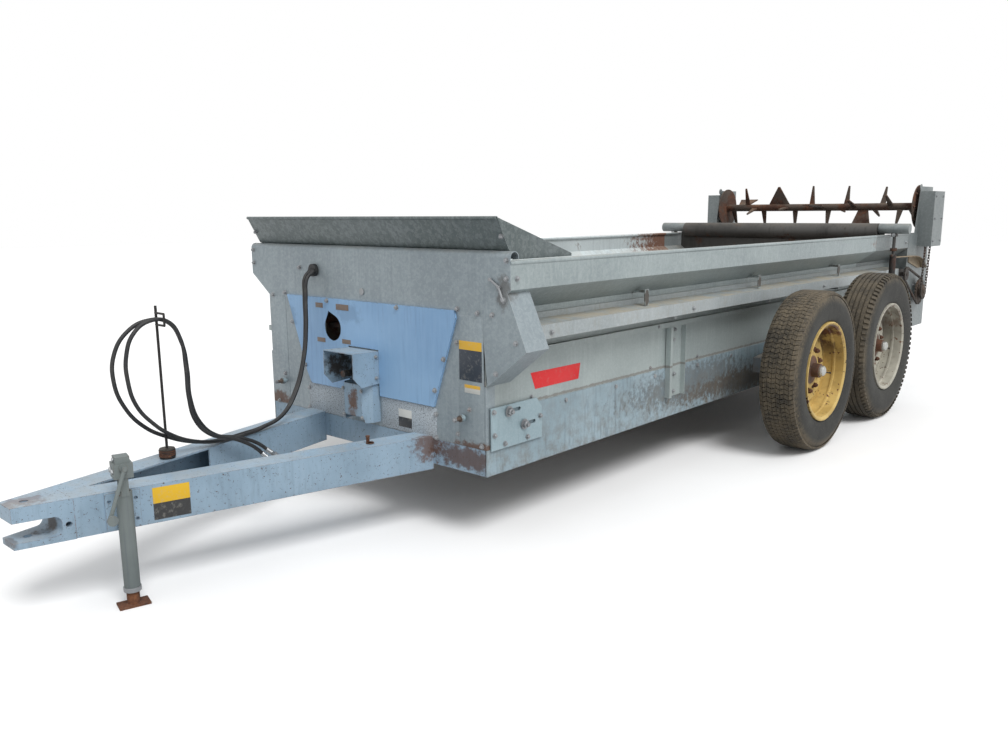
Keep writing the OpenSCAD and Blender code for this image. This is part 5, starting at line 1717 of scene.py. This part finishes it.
@dataclass
class FrontEnd:
    """Front panel's bolts, seams, blank plates and small fittings."""

    cover_face: float = -.012
    guard_face: float = -.0035
    take_up_face: float = .872
    gap: float = .0001          # between a laid plate and its sheet
    in_cover: tuple[Flat, ...] = (
        (-.617, .952), (-.510, .717), (.598, .867), (.534, .708), (-.290, 1.091), (.272, 1.092))
    on_sheet: tuple[Flat, ...] = (
        (-.989, 1.271), (-.539, 1.259), (-.690, 1.112), (-.811, 1.093), (.683, 1.112),
        (.811, 1.101), (.676, .954), (-.496, .588), (-.503, .474), (.754, .642), (.528, .587),
        (.676, .513), (.528, .469), (.832, .477), (-.726, .641), (-.802, .469), (.989, 1.264),
        (-.989, 1.345), (.989, 1.345))
    on_corner: tuple[Flat, ...] = ((.925, .834), (.905, 1.10), (1.045, .985), (.975, 1.17))
    take_up: tuple[Flat, ...] = (
        (.037, .640), (.376, .565), (.041, .528), (.114, .476), (.279, .477))
    studs: tuple[Flat, ...] = ((.141, .628), (.253, .546))
    grab: tuple[Point, ...] = ((.896, -.008, 1.259), (.950, -.010, 1.227), (.970, -.008, 1.176))
    brown: tuple[tuple[float, float, float, float], ...] = (
        (-.393, -.328, 1.050, 1.076), (-.214, -.108, 1.048, 1.079),
        (-.390, -.318, .862, .886), (-.172, -.100, .870, .894))

    def fittings(self) -> None:
        """Makes the grease cap and the bent grab rod."""
        fit = Shop("front_fittings").turned(
            [(.0, 0.0), (.016, 0.0), (.018, .002), (.018, .005), (.012, .007), (.0, .0072)],
            (-.007, -PROUD, 1.154), (0, -1, 0), 20)
        for a, b in zip(self.grab, self.grab[1:]):
            fit.rod(a, b, .0055)
        for x, _, z in self.grab:
            fit.rod((x, -PROUD, z), (x, -.015, z), .008)
        fit.piece(Metal.ZINC, "bright_steel")

    def build(self) -> None:
        """Makes the front end's pieces."""
        spots = forward(0.0, self.on_sheet) + forward(self.cover_face, self.in_cover)
        bolts("front_bolts", Bolt.MEDIUM, spots, 11)
        guard = [((s * .957, .0032, 1.4500), (0, -.879, -.476)) for s in (1, -1)]
        bolts("guard_bolts", Bolt.MEDIUM, guard, 12)
        side = Shop("side_sheets")
        for x0, x1 in ((.684, .846), (-.846, -.692)):
            side.plate((x0, .466), (x1, 1.086), "y", -.0016, -self.gap, .0004)
        side.piece(Metal.GALV, "galv_sheet")
        low = Shop("lower_plate")
        for x0, x1 in ((-.50, -.122), (.122, .53)):
            low.plate((x0, .463), (x1, .618), "y", -.0021, -self.gap, .0005)
        low.piece(Metal.SPECKLED, "pale_paint")
        for name, x0, x1, z0, z1, edge, head, field_tone, face in (
                ("warning_plate", .692, .836, .781, .967, .926, "#d7a92c", "#27303c", -.0017),
                ("yellow_plate", .724, .824, .723, .762, .746, "#d6a72b", "#c9cac5", -.0017),
                ("hood_plate", .253, .351, .485, .577, .536, "#d0d1cd", "#2b2d31", -.0022)):
            Shop(name).plate((x0, z0), (x1, z1), "y", face - .0010, face, .0003).piece(
                Sticker(name, head, ((edge, field_tone),)), "galv_sheet")
        self.fittings()
        brown = Shop("brown_plates")
        for x0, x1, z0, z1 in self.brown:
            brown.plate((x0, z0), (x1, z1), "y", -.0130, self.cover_face - self.gap, .0002)
        brown.piece(Sticker("brown_plates", "#6f5f54", fade=.2), "blue_panel")
        bolts("corner_bolts", Bolt.MEDIUM, forward(self.guard_face, self.on_corner), 13)
        face = self.take_up_face + PROUD
        bolts("take_up_bolts", Bolt.MEDIUM, outward(face, self.take_up), 14)
        bolts("take_up_nuts", Bolt.LARGE, outward(face + .004, self.studs), 15)
        hood = [((s * .1202, -.030, z), (s, 0, 0)) for s in (1, -1) for z in (.72, .83)]
        hood += forward(-.0932, [(s * .074, z) for s in (1, -1) for z in (.515, .655)])
        bolts("hood_bolts", Bolt.SMALL, hood, 16)
        bolts("take_up_rod_nuts", Bolt.MEDIUM, forward(-.0665, [(.722, .600), (-.722, .600)]), 17)


@dataclass
class BoxSides:
    """Walls and rails: red stripe and rows of bolts."""

    wall: float = .856
    rail: float = 1.010
    ledge: float = 1.003
    stiffener: float = .880
    board: float = .860
    post: float = .8645
    stripe: tuple[Flat, ...] = ((.322, .784), (.726, .781), (.710, .699), (.358, .699))

    def build(self) -> None:
        """Makes the pieces of both sides."""
        stripe = Shop("red_stripe").prism(self.stripe, "x", self.wall + .0001,
                                          self.wall + .0008, .0002)
        stripe.piece(Sticker("red_stripe", "#e0191f", fade=.2), "galv_sheet")
        bolts("ledge_bolts", Bolt.MEDIUM,
              outward(self.ledge + PROUD, [(y, .999) for y in (.30, 1.623, 3.55)], both=False), 21)
        for name, kind, face, rows, seed in (
                ("rail_bolts", Bolt.MEDIUM, self.rail, [(y, 1.264) for y in (.045, 5.36)], 22),
                ("stiffener_bolts", Bolt.SMALL, self.stiffener,
                 [(y, .895) for y in (.20, 1.45, 3.30, 4.70)], 23),
                ("wall_bolts", Bolt.SMALL, self.wall,
                 ((.328, .665), (1.405, .659), (1.95, .659), (3.3, .659), (5.3, .659)), 24),
                ("board_bolts", Bolt.ROUND, self.board,
                 [(y, .605) for y in (.60, 1.05, 1.45, 1.95, 2.4, 2.9, 3.3, 3.8, 4.3, 4.9)], 25),
                ("post_bolts", Bolt.MEDIUM, self.post,
                 ((1.642, .800), (1.655, .590), (1.655, .485), (1.655, .860)), 26)):
            bolts(name, kind, outward(face + PROUD, rows), seed)


@dataclass
class Undercarriage:
    """Tandem beams: pivot caps and bolts of pivots and spindles."""

    axle: Flat = (3.2645, .440)
    spindles: tuple[Flat, ...] = ((2.670, .522), (3.859, .545))
    cap_face: float = 1.0742
    beam_face: float = 1.050
    pivot_ring: float = .085

    def build(self) -> None:
        """Makes the undercarriage's pieces."""
        y, z = self.axle
        Shop("pivot_caps").turned(
            [(.0, 0.0), (.052, 0.0), (.056, .003), (.056, .010), (.050, .013), (.020, .0135),
             (.018, .016), (.0, .0165)], (self.cap_face, y, z), (1, 0, 0), 36).mirrored().piece(
            Metal.BEAM, "dark_steel")
        face = self.beam_face + PROUD
        pivot = outward(face, [(y + a, z + b) for a, b in ring(self.pivot_ring, 6)])
        bolts("pivot_bolts", Bolt.MEDIUM, pivot, 31)
        ends = [(y + a, z + b) for y, z in self.spindles
                for a, b in ((-.052, -.032), (.052, -.032), (-.052, .034), (.052, .034))]
        bolts("spindle_bolts", Bolt.SMALL, outward(face, ends), 32)


@dataclass
class Conveyor:
    """Deck boards, apron chains as separate links, and slats."""

    deck: Flat = (.300, 5.312)
    floor: float = .640
    loop: Flat = (.190, 5.370)
    loop_r: float = .062
    loop_z: float = .586
    chain_x: float = .600
    link_pitch: float = .045
    slat_gap: float = .352
    slat_high: float = .026
    slat_half: float = .022
    half: float = .821

    def planks(self) -> None:
        """Makes the deck of boards."""
        front, rear = self.deck
        mesh = grown("boards", carrier("deck_base", [(0, 0, 0)]), Timber(), count=12, width=.1418,
                     length=rear - front, thickness=.0298, gap=.0035, unevenness=.006, seed=4)
        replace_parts(placed("deck_boards", mesh, "chassis", Timber(),
                           Matrix.Translation((0, (front + rear) / 2, self.floor - .015))),
                    "floor_deck")

    def path(self, x: float) -> Thing:
        """Makes the closed path of a chain round its two wheels.

        Args:
            x: the chain's plane.

        Returns:
            The carrier with the path.
        """
        (y0, y1), z, r = self.loop, self.loop_z, self.loop_r
        bends = [math.pi * k / 14 for k in range(14)]
        steps = [k * (y1 - y0) / 80 for k in range(80)]
        pts = [(x, y0 + step, z + r) for step in steps]
        pts += [(x, y1 + r * math.sin(t), z + r * math.cos(t)) for t in bends]
        pts += [(x, y1 - step, z - r) for step in steps]
        pts += [(x, y0 - r * math.sin(t), z - r * math.cos(t)) for t in bends]
        return carrier("path", pts, closed=True)

    def link(self, name: str, flat: bool, pitch: float = .056) -> Thing:
        """Makes one round-wire link of the apron chain, along Y.

        Args:
            name: the link's name.
            flat: whether it lies flat or stands upright.
            pitch: its length between the wire's middles.

        Returns:
            The object that a tree copies.
        """
        wire, half, wide = .0062, pitch * .50, .0135
        pts = [(wide * math.cos(t), (half if math.sin(t) > 0 else -half) * .52
                + half * .48 * math.sin(t)) for t in angles(16)]
        path = [Vector((a, b, 0.0) if flat else (0.0, b, a)) for a, b in pts]
        out = Vector((0, 0, 1)) if flat else Vector((1, 0, 0))
        rows = []
        for k, p in enumerate(path):
            side = (path[(k + 1) % len(path)] - path[k - 1]).normalized().cross(out)
            rows.append([p + wire * (math.cos(t) * side + math.sin(t) * out) for t in angles(6)])
        return Shop(name).torus(rows).pattern()

    def chains(self) -> None:
        """Makes both apron chains."""
        front, rear = self.loop
        total = 2 * (rear - front) + math.tau * self.loop_r
        count = 2 * round(total / self.link_pitch / 2)
        one, two = self.link("flat_link", True), self.link("upright_link", False)
        mesh = merged("apron_links", [
            grown("links_on_path", self.path(s * self.chain_x), Metal.RUST, links=count,
                  inner_link=one, outer_link=two) for s in (-1, 1)])
        for obj in (one, two):
            bpy.data.objects.remove(obj)
        placed("apron_links", mesh, "chassis", Metal.RUST)

    def slats(self) -> None:
        """Makes the slats on both runs of the chains."""
        x, high = self.slat_half, self.slat_high - .001
        bar = Shop("slat").sheet([(-x, 0.0), (-x, high), (x, high), (x, 0.0)], -.005, "x",
                                 -self.half, self.half, .0008)
        for s in (-1, 1):
            bar.plate((s * self.chain_x - .020, -.019), (s * self.chain_x + .020, .019), "z",
                      -.012, .019, .003)
        base = bar.pattern()
        spots, turns = [], []
        for k in range(int((self.loop[1] - self.loop[0]) / self.slat_gap)):
            y = self.loop[0] + (k + .5) * self.slat_gap
            for side, turn in ((1, 0.0), (-1, math.pi)):
                spots.append((0, y, self.loop_z + side * self.loop_r))
                turns.append(turn)
        points = carrier("slat_points", spots)
        points.data.attributes.new("turn", "FLOAT", "POINT").data.foreach_set("value", turns)
        mesh = grown("bars_on_points", points, Metal.RUST, bar=base, bend=.01, seed=6)
        bpy.data.objects.remove(base)
        slats = placed("apron_slats", mesh, "chassis", Metal.RUST)
        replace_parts(slats, "apron_chain")

    def build(self) -> None:
        """Makes the deck, both chains and the slats."""
        self.planks()
        self.chains()
        self.slats()


@dataclass
class BeaterEnd:
    """Rear side drive: roller chains, bearing bolts, blade bolts."""

    upper: Flat = (5.800, 1.580)
    lower: Flat = (5.730, .810)
    out: Flat = (5.330, .985)
    low_plane: float = 1.048
    top_plane: float = 1.082
    pitch: float = .0254
    side_face: float = 1.006
    box_face: float = 1.133
    disc_face: float = .968
    bearing_ring: float = .076

    def path(self, x: float, a: Flat, ra: float, b: Flat, rb: float) -> list[Point]:
        """The closed path of a chain round two wheels.

        Args:
            x: the chain's plane.
            a: centre of the first wheel.
            ra: its radius.
            b: centre of the second wheel.
            rb: its radius.

        Returns:
            The path's points.
        """
        base = math.atan2(b[1] - a[1], b[0] - a[0])
        lean = math.asin((ra - rb) / math.dist(a, b))
        t0, t1 = base + math.pi / 2 - lean, base - math.pi / 2 + lean
        pts = []
        for (y, z), r, start, turn, count in ((a, ra, t0, t1 + 2 * math.pi - t0, 40),
                                              (b, rb, t1, t0 - t1, 24)):
            for t in (start + k * turn / count for k in range(count + 1)):
                pts.append((x, y + r * math.cos(t), z + r * math.sin(t)))
        return pts

    def roller_link(self, name: str, wide: float, fat: bool) -> Thing:
        """Makes one link of roller chain along Y.

        Args:
            name: the link's name.
            wide: where its plates stand, from the middle.
            fat: whether it has rollers and not pins.

        Returns:
            The object that a tree copies.
        """
        shop, h, r = Shop(name), self.pitch / 2, .0088
        outline = [(s * h + r * math.cos(t), r * math.sin(t)) for s in (1, -1)
                   for t in (math.pi * k / 8 - s * math.pi / 2 for k in range(9))]
        for s in (-1, 1):
            shop.prism(outline, "x", s * wide - .0012, s * wide + .0012)
        reach, radius = (wide, .0068) if fat else (wide + .0028, .0032)
        for y in (-h, h):
            shop.rod((-reach, y, 0), (reach, y, 0), radius, 8)
        return shop.pattern()

    def chain(self, name: str, *wheels: object) -> Mesh:
        """Makes one roller chain.

        Args:
            name: the chain's name.
            wheels: its plane, and centre and radius of both wheels.

        Returns:
            The mesh.
        """
        pts = self.path(*wheels)
        far = sum(math.dist(p, q) for p, q in zip(pts, pts[1:] + pts[:1]))
        base = carrier(name, pts, closed=True)
        links = self.roller_link("inner", .0042, True), self.roller_link("outer", .0068, False)
        mesh = grown("links_on_path", base, Metal.DRIVE, links=2 * round(far / self.pitch / 2),
                     inner_link=links[0], outer_link=links[1])
        for obj in links:
            bpy.data.objects.remove(obj)
        return mesh

    def build(self) -> None:
        """Makes the pieces of the rear end."""
        chains = merged("roller_chains", [
            self.chain("low_chain", self.low_plane, self.lower, .118, self.out, .060),
            self.chain("top_chain", self.top_plane, self.upper, .068, self.lower, .068)])
        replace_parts(placed("roller_chains", chains, "chassis", Metal.DRIVE),
                    "beater_chains")
        bearing = [(y + a, z + b) for y, z in (self.upper, self.lower)
                   for a, b in ring(self.bearing_ring, 4, .5)]
        bolts("bearing_bolts", Bolt.MEDIUM, outward(self.side_face + PROUD, bearing), 41)
        box = [(y, z) for y in (5.72, 5.94) for z in (1.27, 1.47, 1.67)]
        bolts("shield_box_bolts", Bolt.SMALL, outward(self.box_face + PROUD, box), 42)
        for body, (y, z), r in (("upper_rotor", self.upper, .165),
                                ("lower_rotor", self.lower, .180)):
            disc = outward(self.disc_face, [(y + a, z + b) for a, b in ring(r, 8)])
            bolts(f"{body}_bolts", Bolt.MEDIUM, disc, 43, body, True)


@dataclass
class Gate:
    """Endgate and its cylinders: glands, ports, pins, tube sleeves and bolts."""

    y: float = 4.880
    x: float = 1.062
    top: float = 1.235

    def build(self) -> None:
        """Makes the gate's pieces."""
        gland = Shop("cylinder_glands").turned(
            [(.0135, -.002), (.024, -.002), (.0262, .0), (.0285, .002), (.0285, .020),
             (.0262, .022), (.0225, .024), (.0135, .0245)],
            (self.x, self.y, self.top - .026), (0, 0, 1), 28)
        for z in (.66, 1.17):
            gland.turned([(.0, 0.0), (.011, 0.0), (.011, .014), (.008, .016), (.0, .016)],
                         (self.x, self.y - .0255, z), (0, -1, 0), 12)
        gland.mirrored().piece(Metal.CASTING, "dark_steel")
        Shop("gate_pins").turned(
            [(.0, 0.0), (.013, 0.0), (.015, .002), (.015, .006), (.0, .0075)],
            (self.x, self.y - .0222, 1.341), (0, -1, 0), 20).mirrored().piece(
            Metal.BRIGHT, "bright_steel", "gate")
        Shop("tube_sleeves").turned(
            [(.0431, 0.0), (.0436, .001), (.0436, .244), (.0425, .2465), (.0, .2465)],
            (.9360, self.y, 1.394), (1, 0, 0), 40).mirrored().piece(
            Metal.REAR, "bright_steel", "gate")
        rows = [(x, z) for x in (-.8, -.5, -.2, .2, .5, .8) for z in (.826, 1.036)]
        bolts("gate_bolts", Bolt.ROUND, forward(self.y - .0032, rows), 51, "gate", True)


def wheel(side: str, out: int, front: bool, seed: int) -> Wheel:
    """One wheel of the four.

    Args:
        side: left or right.
        out: 1 on the left, -1 on the right.
        front: whether it is a front wheel.
        seed: seed of its random draws.

    Returns:
        The wheel.
    """
    row, (y, z) = ("front", (2.670, .522)) if front else ("rear", (3.859, .545))
    # The last value of each row is the barrel's rust and painted shade.
    name, paint, shade, rust = (("yellow", "#ccb06c", "#b39757", .75) if front
                                else ("white", "#b3b0a3", "#98958a", .45))
    centre = (out * 1.290, y, z)
    rim = WheelPaint(f"{name}_{side}", paint, shade, centre, rust)
    return Wheel(f"{row}_{side}", f"wheel_{row}_{side}", centre, z, rim, front, seed)


WHEELS: tuple[Wheel, ...] = (wheel("left", 1, True, 1), wheel("right", -1, True, 2),
                             wheel("left", 1, False, 3), wheel("right", -1, False, 4))

FINISH_NODES: tuple[tuple[object, str], ...] = (
    (Metal.PAINT, "tongue_left_leg tongue_right_leg hitch_clevis jack_mount pto_hood front_sill"),
    (Metal.JACK, "jack_body jack_crank"),
    (Metal.RUST, "jack_leg drive_shaft apron_chain"),
    (Metal.DARK, "hose_holder pto_shaft apron_shafts gate_cylinders"),
    (HoseRubber(), "hose_a hose_b hose_grommet"),
    (Metal.BRIGHT, "hose_couplers"),
    (Metal.GALV, "front_panel corner_guard"),
    (Metal.GUARD, "front_guard"),
    (Metal.BLUE, "centre_panel"),
    (Metal.CASTING, "input_gearbox beater_drive"),
    (Metal.INNER, "inner_front_wall"),
    (Metal.PLATE, "take_ups"),
    (Metal.RAIL, "left_upper_wall"),
    (Metal.FAR, "right_upper_wall"),
    (Metal.WALL, "left_lower_wall right_lower_wall"),
    (Metal.SHIELD, "drive_shield"),
    (Timber(), "floor_deck"),
    (Metal.BOARD, "chassis_rails"),
    (Metal.BEAM, "main_axle tandem_beams"),
    (Metal.GATE, "endgate"),
    (Metal.REAR, "rear_left_side rear_right_side"),
    (Metal.BEATER, "upper_beater lower_beater"),
    (Metal.DRIVE, "drive_wheel beater_chains"),
    (Metal.TAN, "chain_guard"))


def main() -> None:
    """Builds the whole scene."""
    logging.basicConfig(level=logging.INFO, format="%(message)s")
    Studio().build()
    Hoses().build()
    for item in WHEELS:
        item.build()
        dress(f"tyre_{item.node}", item.rubber)
    for finish, nodes in FINISH_NODES:
        for node in nodes.split():
            dress(node, finish)
    for part in (Hitch(), FrontEnd(), BoxSides(), Undercarriage(), Conveyor(), Gate(),
                 BeaterEnd()):
        part.build()


if __name__ == "__main__":
    main()
